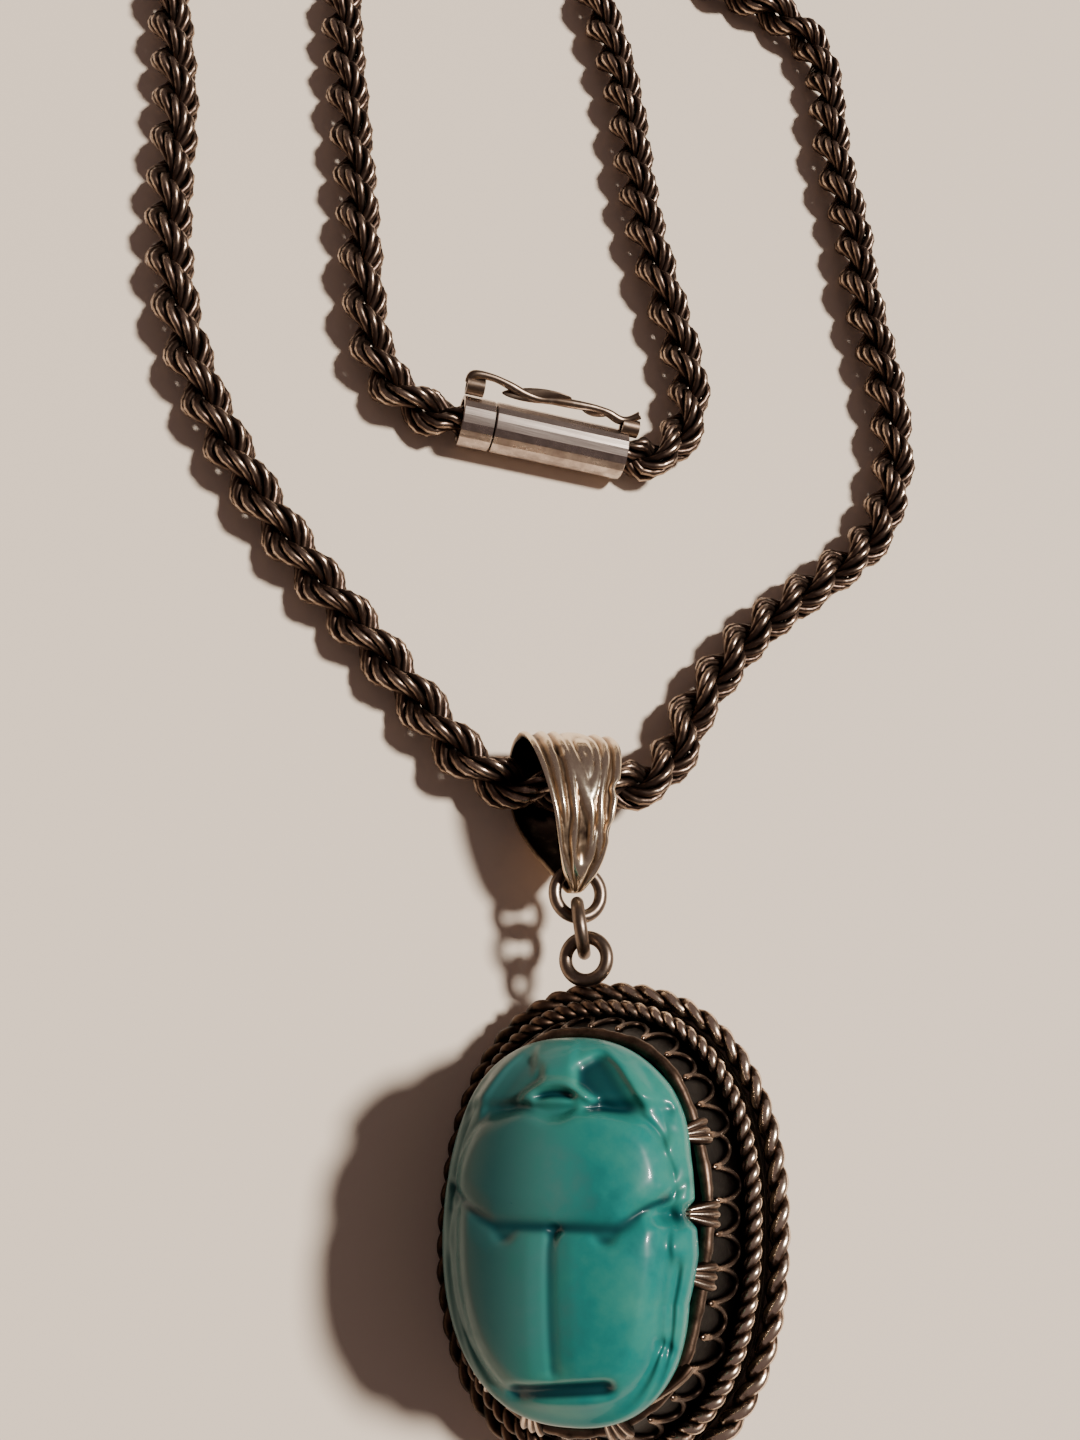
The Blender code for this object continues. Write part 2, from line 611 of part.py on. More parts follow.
clear_scene()
pieces = bpy.data.collections.new("scarab_amulet")
bpy.context.scene.collection.children.link(pieces)
cutters = bpy.data.collections.new("cutters")
bpy.context.scene.collection.children.link(cutters)

whole = empty("amulet_place")
setting = empty("setting_place", whole)
setting.location.x = SETTING_SIDE
setting.rotation_euler = (0.0, -LEAN, 0.0)

# the setting stands as high as its left rim needs
rim = beaded_ring("rope_rim_outer", 0.0, 0.0, OUTER_ROPE, OUTER_BEAD, "silver_rope")
bpy.context.view_layer.update()
setting.location.z = -world_box([rim])[0].z
bpy.context.view_layer.update()

back = build_back()
build_gallery()
build_scallops()
beaded_ring("rope_rim_inner", INNER_INSET, INNER_RISE, INNER_ROPE, INNER_BEAD, "silver_rope")
build_bezel_wire()
build_scarab()
for index, place in enumerate(CLAW_PLACES):
    build_claw(index + 1, place)

# hanging loop soldered to the rim, then link, ring and bail in line
rim_there = RIM_HALF_LENGTH * (1.0 - (abs(LOOP_SIDE) / RIM_HALF_WIDTH) ** OVAL_POWER) ** (1.0 / OVAL_POWER)
loop_place = Vector((LOOP_SIDE, rim_there + OUTER_ROPE / 2.0 + LOOP_OUTSIDE / 2.0 + JOINT_GAP, LOOP_RISE))
loop = wire_ring("hanging_loop", LOOP_OUTSIDE, RING_WIRE, loop_place, (0.0, 0.0, 0.0), "silver_rope", setting)
bpy.context.view_layer.update()
loop_centre = loop.matrix_world.translation.copy()
hanger = empty("hanger_place", whole)
hanger.location = (loop_centre.x, loop_centre.y, 0.0)
hanger.rotation_euler = (0.0, 0.0, HANGER_TURN)
ring_height = loop_centre.z - RING_DROP
link_reach = (LOOP_OUTSIDE - RING_WIRE) / 2.0 + (LINK_OUTSIDE - RING_WIRE) / 2.0 - RING_WIRE * 1.2
ring_reach = link_reach + (LINK_OUTSIDE - RING_WIRE) / 2.0 + (RING_OUTSIDE - RING_WIRE) / 2.0 - RING_WIRE * 1.2
wire_ring("middle_link", LINK_OUTSIDE, RING_WIRE, (0.0, link_reach, (loop_centre.z + ring_height) / 2.0),
          (0.0, math.pi / 2.0, 0.0), "silver_rope", hanger)
wire_ring("bail_ring", RING_OUTSIDE, RING_WIRE, (0.0, ring_reach, ring_height), (0.0, 0.0, 0.0),
          "silver_rope", hanger)
build_bail(hanger, ring_reach, ring_height)

# chain and clasp on the surface
build_chain("chain_left", LEFT_ROUTE, -1.0, whole)
build_chain("chain_right", RIGHT_ROUTE, 1.0, whole)
build_clasp(whole)

# origin under the middle of the amulet itself, chain left out, and a flat spot on the belly
bpy.context.view_layer.update()
cord_names = ("chain_", "clasp_", "catch_", "safety_")
own = [o for o in pieces.objects if o.type == "MESH" and not o.name.startswith(cord_names)]
low, high = world_box(own)
whole.location = (-(low.x + high.x) / 2.0, -(low.y + high.y) / 2.0, 0.0)
bpy.context.view_layer.update()

bpy.ops.mesh.primitive_cube_add(size=1.0)
under = bpy.context.object
under.name = "surface_cut"
for owner in list(under.users_collection):
    owner.objects.unlink(under)
cutters.objects.link(under)
under.scale = (40 * MM, 60 * MM, 10 * MM)
under.location = (whole.location.x, whole.location.y, -5 * MM)
under.hide_render = True
under.display_type = "WIRE"
cut = back.modifiers.new("flat_spot", "BOOLEAN")
cut.operation = "DIFFERENCE"
cut.solver = "EXACT"
cut.object = under
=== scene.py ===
"""Scarab amulet: a glazed scarab in a leaning silver setting, on a fold-over bail and a rope chain."""
import math

import bpy
import bmesh
import numpy as np
from mathutils import Matrix, Vector


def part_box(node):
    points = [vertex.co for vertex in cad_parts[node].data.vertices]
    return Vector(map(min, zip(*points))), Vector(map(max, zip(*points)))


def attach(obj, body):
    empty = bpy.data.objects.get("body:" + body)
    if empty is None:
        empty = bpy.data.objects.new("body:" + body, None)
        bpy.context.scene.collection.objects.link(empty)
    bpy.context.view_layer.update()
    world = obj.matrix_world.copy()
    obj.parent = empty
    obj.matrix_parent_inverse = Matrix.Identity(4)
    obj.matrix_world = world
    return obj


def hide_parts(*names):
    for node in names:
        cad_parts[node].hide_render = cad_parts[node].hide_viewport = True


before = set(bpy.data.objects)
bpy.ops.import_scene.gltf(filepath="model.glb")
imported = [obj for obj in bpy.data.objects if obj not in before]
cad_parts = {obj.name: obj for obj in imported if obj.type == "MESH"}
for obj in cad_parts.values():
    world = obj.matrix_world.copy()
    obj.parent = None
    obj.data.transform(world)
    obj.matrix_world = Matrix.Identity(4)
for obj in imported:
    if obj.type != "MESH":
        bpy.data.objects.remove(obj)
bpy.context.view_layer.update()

MM = 0.001

# Camera: a close, wide view from the lower left, looking down on the amulet and the clasp.
def new_object(name, data):
    """An object in the scene that carries the data."""
    item = bpy.data.objects.new(name, data)
    bpy.context.scene.collection.objects.link(item)
    return item


camera_data = bpy.data.cameras.new("camera")
camera_data.sensor_fit = "VERTICAL"
camera_data.sensor_height = 36.0
camera_data.lens = 27.5
camera_data.clip_start = 0.005
camera = new_object("camera", camera_data)
camera_right = Vector((0.9596, 0.0870, 0.2677)).normalized()
camera_back = Vector((-0.2211, -0.3553, 0.9082)).normalized()
camera_up = camera_back.cross(camera_right).normalized()
camera_right = camera_up.cross(camera_back)
camera.matrix_world = (Matrix.Translation(Vector((-24.694, -5.285, 80.89)) * MM)
                       @ Matrix((camera_right, camera_up, camera_back)).transposed().to_4x4())
bpy.context.scene.camera = camera

# Rope chain: two strands of silver wire laid round each other, blackened and rubbed bright on
# the outside.  It runs from inside the bail along the surface to the clasp.
ROW_SHIFT = Vector((0.486, -9.505, 0.0)) * MM     # the routes are drawn from the setting's place
CHAIN_THICK = 4.1 * MM
CHAIN_HEIGHT = 2.1 * MM
CHAIN_IN_BAIL = 3.35 * MM
CHAIN_MEETING_GAP = 0.4 * MM
CLASP_HEIGHT = 2.2 * MM
CHAIN_TWIST = 8.9 * MM
STRAND_REACH = 1.0 * MM
STRAND_WIRES = 6
WIRE_REACH = 0.70 * MM
WIRE_THICK = 0.70 * MM
WIRE_TWIST = 8.4 * MM
WIRE_STEP = 0.55 * MM
WIRE_SIDES = 7
CHAIN_NECK = 2.2 * MM         # the last stretch, drawn together to go into the clasp
CHAIN_INTO_CLASP = 0.35 * MM  # inwards from the clasp's end, and aside because the clasp is turned
CLASP_END_SHIFT = 0.2 * MM
LINE_STEPS = 12
# laid by hand, so the twist is a little uneven: size, length and start of two slow waves
CHAIN_WAVES = ((0.22, 7.3 * MM, 0.0), (0.15, 2.9 * MM, 1.0))
CLASP_CENTRE = Vector((-8.18 * MM, 60.86 * MM, CLASP_HEIGHT)) + ROW_SHIFT
CLASP_LENGTH = 14.6 * MM
CLASP_TURN = math.radians(1.5)
LEFT_ROUTE = (
    (-3.1, 29.75), (-6.1, 29.1), (-9.3, 29.15), (-12.5, 31.3), (-15.8, 34.8), (-19.6, 38.5), (-24.7, 43.2),
    (-30.0, 48.9), (-34.7, 55.1), (-38.3, 61.6), (-41.0, 69.1), (-42.6, 77.0), (-43.7, 85.0),
    (-45.3, 92.0), (-47.2, 99.0), (-50.2, 110.0), (-52.8, 123.0), (-53.0, 137.0), (-49.0, 148.5),
    (-42.0, 153.0), (-35.5, 149.0), (-32.6, 139.0), (-32.6, 125.0), (-32.8, 112.0), (-32.0, 103.8),
    (-30.6, 96.5), (-28.8, 88.3), (-27.0, 80.0), (-25.4, 72.2), (-24.0, 66.6), (-21.9, 62.9),
    (-19.0, 60.9), (-17.0, 60.65),
)
RIGHT_ROUTE = (
    (-3.1, 29.75), (-0.2, 30.2), (2.4, 30.9), (4.9, 33.6), (6.3, 37.0), (8.3, 40.9), (12.3, 46.8),
    (18.0, 52.5), (23.5, 58.3), (26.2, 66.2), (26.0, 74.2), (24.6, 81.2), (23.2, 87.6), (22.4, 94.8),
    (20.8, 101.6), (19.8, 108.6), (19.2, 115.4), (16.9, 120.8), (12.0, 123.6), (5.6, 125.2),
    (0.2, 128.4), (-5.6, 128.6), (-8.8, 123.2), (-7.2, 115.8), (-5.0, 109.4), (-3.0, 102.0),
    (-1.6, 94.4), (-0.2, 87.8), (1.9, 80.9), (3.8, 75.2), (5.2, 69.6), (4.6, 65.0), (2.6, 62.0),
    (0.9, 61.15),
)


def smooth_line(points, steps):
    """Catmull-Rom curve through the points."""
    made = []
    last = len(points) - 1
    for k in range(last):
        p0 = points[max(k - 1, 0)]
        p1 = points[k]
        p2 = points[k + 1]
        p3 = points[min(k + 2, last)]
        for n in range(steps):
            t = n / steps
            made.append((p1 * 2.0 + (p2 - p0) * t + (p0 * 2.0 - p1 * 5.0 + p2 * 4.0 - p3) * t ** 2
                         + (p1 * 3.0 - p0 - p2 * 3.0 + p3) * t ** 3) * 0.5)
    made.append(points[-1])
    return made


def line_length(points):
    return sum((points[k + 1] - points[k]).length for k in range(len(points) - 1))


def along_line(points, distances):
    """Points of a polyline at rising distances from its start, with its direction at each."""
    found = []
    gone = 0.0
    k = 0
    for want in distances:
        while k < len(points) - 2 and gone + (points[k + 1] - points[k]).length < want:
            gone += (points[k + 1] - points[k]).length
            k += 1
        step = points[k + 1] - points[k]
        here = points[k] + step * ((want - gone) / step.length)
        ahead = points[min(k + 2, len(points) - 1)] - points[max(k - 1, 0)]
        found.append((here, ahead.normalized()))
    return found


def chain_line(route, side):
    """Centre line of one half of the chain, from inside the bail to its end of the clasp."""
    line = []
    for k, (x, y) in enumerate(route):
        rise = CHAIN_IN_BAIL if k < 3 else CHAIN_HEIGHT
        if k == 3:
            rise = (CHAIN_IN_BAIL + CHAIN_HEIGHT) / 2.0
        if k >= len(route) - 2:
            rise = CLASP_HEIGHT
        line.append(Vector((x * MM, y * MM, rise)) + ROW_SHIFT)
    line[0] = line[0] + (line[1] - line[0]).normalized() * CHAIN_MEETING_GAP
    reach = CLASP_LENGTH / 2.0 + CHAIN_MEETING_GAP
    end = CLASP_CENTRE + Vector((math.cos(CLASP_TURN), math.sin(CLASP_TURN), 0.0)) * side * reach
    return smooth_line(line, LINE_STEPS) + [end]


def deselect():
    for item in bpy.context.selected_objects:
        item.select_set(False)


def take(item):
    """Make one piece the only selected and active one."""
    deselect()
    item.select_set(True)
    bpy.context.view_layer.objects.active = item


def settle(item, place):
    """Put an object at its place and write that into its mesh, so that it sits at the origin."""
    take(item)
    item.matrix_world = place @ item.matrix_world
    bpy.ops.object.transform_apply(location=True, rotation=True, scale=True)
    return item


def mark(item, name, values):
    """Store one number a point, for the material to read."""
    layer = item.data.attributes.new(name, "FLOAT", "POINT")
    layer.data.foreach_set("value", np.asarray(values, dtype=np.float32))


def hand_over(item, name, look, slot, *nodes):
    """Name a finished piece, give it its material, and let it stand for its CAD nodes."""
    item.name = name
    item.data.name = name
    item.data.materials.clear()
    item.data.materials.append(look)
    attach(item, "root")
    if nodes:
        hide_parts(*nodes)
    return item


def link_nodes(tree, *rows):
    """Each row is a node and its output, then a node and its input."""
    for start, output, end, socket in rows:
        tree.links.new(start.outputs[output], end.inputs[socket])


def add_node(tree, kind, **values):
    """A shader node, with its settings and the constant values of its sockets."""
    node = tree.nodes.new(kind)
    for key, value in values.items():
        if hasattr(node, key):
            setattr(node, key, value)
        else:
            node.inputs[key.replace("_", " ")].default_value = value
    return node


def math_node(tree, operation, second=0.5, clamp=False):
    """One sum; its second number is a constant, unless something is linked to it."""
    node = add_node(tree, "ShaderNodeMath", operation=operation, use_clamp=clamp)
    node.inputs[1].default_value = second
    return node


def soft_range(tree, start, end, most=1.0):
    """A value that rises softly from nothing at the start to the most at the end."""
    return add_node(tree, "ShaderNodeMapRange", interpolation_type="SMOOTHSTEP", From_Min=start,
                    From_Max=end, To_Max=most)


def new_look(name):
    """A material, its node tree and its surface shader."""
    look = bpy.data.materials.new(name)
    look.use_nodes = True
    return look, look.node_tree, look.node_tree.nodes["Principled BSDF"]


def patina_group():
    """Oxidised silver: dark in the hollows, rubbed bright on what stands out, with fine scratches."""
    group = bpy.data.node_groups.new("silver_patina", "ShaderNodeTree")
    for way, kind, names in (("INPUT", "NodeSocketFloat", ("Rubbed", "Grain", "Uneven")),
                             ("INPUT", "NodeSocketVector", ("Stretch",)),
                             ("INPUT", "NodeSocketColor", ("Hollow Color", "Body Color", "Bright Color")),
                             ("OUTPUT", "NodeSocketColor", ("Color",)),
                             ("OUTPUT", "NodeSocketFloat", ("Roughness", "Height"))):
        for name in names:
            group.interface.new_socket(name=name, in_out=way, socket_type=kind)
    start = group.nodes.new("NodeGroupInput")
    end = group.nodes.new("NodeGroupOutput")
    place = add_node(group, "ShaderNodeTexCoord")
    stretch = add_node(group, "ShaderNodeMapping")
    clouds = add_node(group, "ShaderNodeTexNoise", Scale=900.0, Detail=4.0, Roughness=0.6)
    grain = add_node(group, "ShaderNodeTexNoise", Detail=3.0, Roughness=0.65)
    lift = math_node(group, "SUBTRACT", 0.5)
    uneven = math_node(group, "MULTIPLY")
    worn = math_node(group, "ADD", clamp=True)
    low = soft_range(group, 0.0, 0.5)
    high = soft_range(group, 0.5, 1.0)
    first = add_node(group, "ShaderNodeMix", data_type="RGBA")
    second = add_node(group, "ShaderNodeMix", data_type="RGBA")
    rough = add_node(group, "ShaderNodeMapRange", To_Min=0.45, To_Max=0.11)
    speck = math_node(group, "MULTIPLY_ADD", 0.16)
    link_nodes(group, (place, "Object", clouds, "Vector"), (place, "Object", stretch, "Vector"),
               (start, "Stretch", stretch, "Scale"), (stretch, "Vector", grain, "Vector"),
               (start, "Grain", grain, "Scale"), (clouds, "Fac", lift, 0), (lift, 0, uneven, 0),
               (start, "Uneven", uneven, 1), (uneven, 0, worn, 0), (start, "Rubbed", worn, 1),
               (worn, 0, low, "Value"), (worn, 0, high, "Value"), (low, 0, first, "Factor"),
               (start, "Hollow Color", first, "A"), (start, "Body Color", first, "B"),
               (high, 0, second, "Factor"), (first, "Result", second, "A"),
               (start, "Bright Color", second, "B"), (second, "Result", end, "Color"),
               (worn, 0, rough, "Value"), (grain, "Fac", speck, 0), (rough, 0, speck, 2),
               (speck, 0, end, "Roughness"), (grain, "Fac", end, "Height"))
    return group


silver_patina = patina_group()
SCRATCH_DEPTH = 0.05 * MM


def silver(name, hollow, body, bright, grain=5000.0, uneven=0.5, stretch=(1.0, 1.0, 1.0), bump=0.15,
           rubbed=None):
    """A silver finish made with the shared patina; rubbed is one value where a piece has no marks."""
    look, tree, shader = new_look(name)
    shader.inputs["Metallic"].default_value = 1.0
    patina = add_node(tree, "ShaderNodeGroup", node_tree=silver_patina, Hollow_Color=(*hollow, 1.0),
                      Body_Color=(*body, 1.0), Bright_Color=(*bright, 1.0), Grain=grain, Uneven=uneven,
                      Stretch=stretch)
    if rubbed is None:
        marks = add_node(tree, "ShaderNodeAttribute", attribute_name="rubbed")
        link_nodes(tree, (marks, "Fac", patina, "Rubbed"))
    else:
        patina.inputs["Rubbed"].default_value = rubbed
    relief = add_node(tree, "ShaderNodeBump", Strength=bump, Distance=SCRATCH_DEPTH)
    link_nodes(tree, (patina, "Color", shader, "Base Color"), (patina, "Roughness", shader, "Roughness"),
               (patina, "Height", relief, "Height"), (relief, "Normal", shader, "Normal"))
    return look


chain_silver = silver("chain_silver", (0.008, 0.005, 0.004), (0.105, 0.066, 0.048), (0.76, 0.57, 0.42),
                      uneven=0.6)


def rope_chain(line, mouth):
    """Two strands of six wires each, drawn together where they enter the clasp, as one mesh."""
    line = line + [mouth]
    total = line_length(line)
    count = int(total / WIRE_STEP)
    spots = along_line(line, [total * k / count for k in range(count + 1)])
    here = np.array([spot[:] for spot, _ in spots])
    ahead = np.array([way[:] for _, way in spots])
    gone = np.linspace(0.0, total, count + 1)
    level = np.cross([0.0, 0.0, 1.0], ahead)
    level /= np.linalg.norm(level, axis=1)[:, None]
    rise = np.cross(ahead, level)
    uneven = sum(size * np.sin(gone / wave + start) for size, wave, start in CHAIN_WAVES)
    points = []
    faces = []
    rubbed = []
    side = np.arange(WIRE_SIDES) * 2.0 * math.pi / WIRE_SIDES
    for strand in range(2):
        lay = -2.0 * math.pi * gone / CHAIN_TWIST + math.pi * strand + uneven
        tight = np.clip((total - gone) / CHAIN_NECK, 0.45, 1.0)[:, None]
        middle = here + (level * np.cos(lay)[:, None] + rise * np.sin(lay)[:, None]) * STRAND_REACH * tight
        for wire in range(STRAND_WIRES):
            turn = 2.0 * math.pi * (gone / WIRE_TWIST + wire / STRAND_WIRES) + 0.12 * math.sin(wire * 2.3)
            out = level * np.cos(turn)[:, None] + rise * np.sin(turn)[:, None]
            line_at = middle + out * WIRE_REACH
            way = np.gradient(line_at, axis=0)
            way /= np.linalg.norm(way, axis=1)[:, None]
            first = out - way * (out * way).sum(axis=1)[:, None]
            first /= np.linalg.norm(first, axis=1)[:, None]
            second = np.cross(way, first)
            skin = line_at[:, None] + (first[:, None] * np.cos(side)[None, :, None]
                                       + second[:, None] * np.sin(side)[None, :, None]) * (WIRE_THICK / 2.0)
            base = len(points) * (count + 1) * WIRE_SIDES
            points.append(skin.reshape(-1, 3))
            away = skin - here[:, None]
            along = (away * ahead[:, None]).sum(axis=2)
            far = np.sqrt(np.maximum((away ** 2).sum(axis=2) - along ** 2, 0.0))
            own = np.linalg.norm(skin - middle[:, None], axis=2) / (WIRE_REACH + WIRE_THICK / 2.0)
            crown = (far / (CHAIN_THICK / 2.0) - 0.35) * 0.55 + (own - 0.72) * 1.7
            rubbed.append(np.clip(crown, 0.0, 1.0).ravel())
            for k in range(count):
                row = base + k * WIRE_SIDES
                for n in range(WIRE_SIDES):
                    after = (n + 1) % WIRE_SIDES
                    faces.append((row + n, row + after, row + WIRE_SIDES + after, row + WIRE_SIDES + n))
            faces.append(tuple(base + n for n in reversed(range(WIRE_SIDES))))
            faces.append(tuple(base + count * WIRE_SIDES + n for n in range(WIRE_SIDES)))
    mesh = bpy.data.meshes.new("rope_chain")
    mesh.from_pydata(np.concatenate(points).tolist(), [], faces)
    item = new_object("rope_chain", mesh)
    mark(item, "rubbed", np.concatenate(rubbed))
    mesh.shade_smooth()
    return item


left_line = chain_line(LEFT_ROUTE, -1.0)
right_line = chain_line(RIGHT_ROUTE, 1.0)
for name, line, side, node in (("rope_chain_left", left_line, -1.0, "chain_left"),
                               ("rope_chain_right", right_line, 1.0, "chain_right")):
    mouth = CLASP_CENTRE + Vector((CLASP_LENGTH / 2.0 - CHAIN_INTO_CLASP, CLASP_END_SHIFT, 0.0)) * side
    hand_over(rope_chain(line, mouth), name, chain_silver, "silver_rope", node)

# Place of the leaning setting, and its oval: every piece of it is modelled flat and then leaned.
SETTING_LEAN = math.radians(-33.0)
SETTING_PLACE = (Matrix.Translation(Vector((1.026, -9.505, 6.498)) * MM)
                 @ Matrix.Rotation(SETTING_LEAN, 4, "Y"))
RIM_HALF_WIDTH = 11.05 * MM
RIM_HALF_LENGTH = 14.3 * MM
OVAL_POWER = 2.3
OVAL_POINTS = 2880
TANGENT_STEP = 0.1 * MM


def superellipse(angle, power):
    """Points of a full oval that reaches 1 both ways."""
    c = np.cos(angle)
    s = np.sin(angle)
    return np.sign(c) * np.abs(c) ** (2.0 / power), np.sign(s) * np.abs(s) ** (2.0 / power)


def oval_track(inset, count):
    """Evenly spaced points of the setting's oval moved in by the inset, outward normals, its length."""
    x, y = superellipse(np.linspace(0.0, 2.0 * math.pi, OVAL_POINTS + 1), OVAL_POWER)
    x = x * (RIM_HALF_WIDTH - inset)
    y = y * (RIM_HALF_LENGTH - inset)
    gone = np.concatenate([[0.0], np.cumsum(np.hypot(np.diff(x), np.diff(y)))])
    want = np.arange(count) / count * gone[-1]
    after = (want + TANGENT_STEP) % gone[-1]
    spots = np.stack([np.interp(want, gone, x), np.interp(want, gone, y)], axis=1)
    ahead = np.stack([np.interp(after, gone, x), np.interp(after, gone, y)], axis=1) - spots
    ahead /= np.linalg.norm(ahead, axis=1)[:, None]
    return spots, np.stack([ahead[:, 1], -ahead[:, 0]], axis=1), gone[-1]


def face_outwards(merge=0.0):
    """Turn the active mesh's faces outwards, with points nearer than the merge distance made one."""
    bpy.ops.object.mode_set(mode="EDIT")
    bpy.ops.mesh.select_all(action="SELECT")
    if merge > 0.0:
        bpy.ops.mesh.remove_doubles(threshold=merge)
    bpy.ops.mesh.normals_make_consistent(inside=False)
    bpy.ops.object.mode_set(mode="OBJECT")


def wire_along(points, thick, sides=8, closed=True, radii=None):
    """A round wire along a line of points: a bevelled curve made a mesh."""
    curve = bpy.data.curves.new("wire", "CURVE")
    curve.dimensions = "3D"
    curve.bevel_depth = thick / 2.0
    curve.bevel_resolution = max(0, sides // 2 - 2)
    curve.use_fill_caps = not closed
    line = curve.splines.new("POLY")
    line.points.add(len(points) - 1)
    for k, (spot, p) in enumerate(zip(line.points, points)):
        spot.co = (p[0], p[1], p[2], 1.0)
        spot.radius = 1.0 if radii is None else radii[k]
    line.use_cyclic_u = closed
    take(new_object("wire", curve))
    bpy.ops.object.convert(target="MESH")
    item = bpy.context.object
    face_outwards(merge=1e-7)
    bpy.ops.object.shade_smooth()
    return item


def join(items):
    """Join several new objects into the first one."""
    take(items[0])
    for item in items[1:]:
        item.select_set(True)
    bpy.ops.object.join()
    return bpy.context.object


# Two twisted rope wires, an outer one round the setting's edge and a finer one a step higher,
# each of two round silver wires laid together, soldered down and rubbed bright on their crowns.
rope_silver = silver("rope_silver", (0.008, 0.005, 0.003), (0.115, 0.068, 0.045), (0.95, 0.76, 0.58),
                     uneven=0.5)
ROPE_STEPS = 14               # points for each full turn of a strand
ROPE_STRAND = 0.60            # a strand's thickness, as a share of the rope's
LOW_SIDE_SHADE_START = -8.0 * MM      # painted shade: the crowns are darker towards the low side of the setting, away from the light
LOW_SIDE_SHADE_SPAN = 12.0 * MM


def rope_ring(inset, rise, thick, bead):
    """Two strands twisted round each other along the oval; one bead shows for each half turn."""
    turns = round(oval_track(inset, 8)[2] / bead / 2.0)
    spots, outs, _ = oval_track(inset, turns * ROPE_STEPS)
    wire = thick * ROPE_STRAND
    reach = (thick - wire) / 2.0
    strands = []
    for strand in range(2):
        angle = math.pi * strand - 2.0 * math.pi * np.arange(turns * ROPE_STEPS) / ROPE_STEPS
        flat = spots + outs * (np.cos(angle) * reach)[:, None]
        strands.append(wire_along(np.column_stack([flat, rise + np.sin(angle) * reach]), wire))
    item = join(strands)
    points = np.array([v.co[:] for v in item.data.vertices])
    coarse = spots[::4]
    near = np.argmin((points[:, None, 0] - coarse[None, :, 0]) ** 2
                     + (points[:, None, 1] - coarse[None, :, 1]) ** 2, axis=1)
    far = np.linalg.norm(points - np.column_stack([coarse[near], np.full(len(near), rise)]), axis=1)
    # painted shade: the rope's crowns are made darker towards the low side of the setting, which faces away
    # from the light
    low_side_shading = 0.25 + 0.75 * np.clip((points[:, 0] - LOW_SIDE_SHADE_START) / LOW_SIDE_SHADE_SPAN, 0.0, 1.0)
    mark(item, "rubbed", np.clip((far / (thick / 2.0) - 0.66) / 0.32, 0.0, 1.0) * low_side_shading)
    return settle(item, SETTING_PLACE)


# inset, rise, thickness and length of a bead, in millimetres
for name, inset, rise, thick, bead, node in (
        ("rope_wire_outer", 0.0, 0.15, 1.38, 1.6, "rope_rim_outer"),
        ("rope_wire_inner", 1.35, 2.2, 1.16, 0.92, "rope_rim_inner")):
    rope = rope_ring(inset * MM, rise * MM, thick * MM, bead * MM)
    hand_over(rope, name, rope_silver, "silver_rope", node)

# Rounded back, flange and sloping gallery: sheet silver raised to a bowl, coloured near black in the
# channel between the ropes and on the gallery, and soldered under the wires.
dark_silver = silver("dark_silver", (0.003, 0.002, 0.002), (0.008, 0.006, 0.005), (0.06, 0.04, 0.03),
                     grain=2500.0, uneven=0.5, rubbed=0.15, bump=0.3)
back_silver = silver("back_silver", (0.010, 0.007, 0.005), (0.19, 0.14, 0.105), (0.50, 0.40, 0.32),
                     grain=3000.0, uneven=0.35, bump=0.15)
BELLY = 6.499 * MM
BELLY_CENTRE = -0.5 * MM
BELLY_ROWS = 13
JOINT_GAP = 0.06 * MM
SHELF_INSET = 0.05 * MM       # the shelf of the back plate that carries the outer rope
SHELF_TOP = -0.60 * MM
SHELF_UNDER = -0.82 * MM
SHELF_FILLET = 0.3 * MM
CHANNEL_WALL = 0.72 * MM      # the black wall between the ropes, and the step that carries the inner one
UPPER_STEP = 1.58 * MM
GALLERY_FOOT = 1.88 * MM
BLACK_ABOVE = -0.45 * MM
BEZEL_INSET = 3.5 * MM
BEZEL_RISE = 6.6 * MM
BEZEL_WIRE = 0.7 * MM
SEAT_DEPTH = 2.5 * MM
CORE_INSET = RIM_HALF_WIDTH * 0.75     # where the gallery's sheet ends, hidden under the stone
OVAL_SIDES = 96


def shade_crisp(item, degrees):
    """Smooth shading that breaks at edges sharper than the angle."""
    item.data.shade_smooth()
    item.data.set_sharp_from_angle(angle=math.radians(degrees))


def primitive(kind, **values):
    """A new basic shape, at the origin unless the values say where, as the only selected piece."""
    deselect()
    getattr(bpy.ops.mesh, f"primitive_{kind}_add")(**{"location": (0.0, 0.0, 0.0), **values})
    return bpy.context.object


def oval_shell(profile):
    """A circle put on the oval and extruded from one row of a profile to the next, then capped."""
    item = primitive("circle", vertices=OVAL_SIDES, radius=RIM_HALF_WIDTH)
    bpy.ops.object.mode_set(mode="EDIT")
    bpy.ops.mesh.select_all(action="SELECT")
    for k, (inset, rise) in enumerate(profile):
        if k == 0:
            bpy.ops.mesh.edge_face_add()
        else:
            bpy.ops.mesh.extrude_region_move()
        shape = bmesh.from_edit_mesh(item.data)
        row = [v for v in shape.verts if v.select]
        row.sort(key=lambda v: math.atan2(v.co.y, v.co.x) % (2.0 * math.pi))
        for v, (x, y) in zip(row, oval_track(inset, OVAL_SIDES)[0]):
            v.co = (x, y, rise)
        bmesh.update_edit_mesh(item.data)
    face_outwards()
    shade_crisp(item, 35.0)
    return item


def on_gallery(share):
    """Inset and rise on the gallery's slope, from its foot at 0 to its head at 1."""
    return tuple(foot + (head - foot) * share for foot, head in zip(gallery_foot, gallery_head))


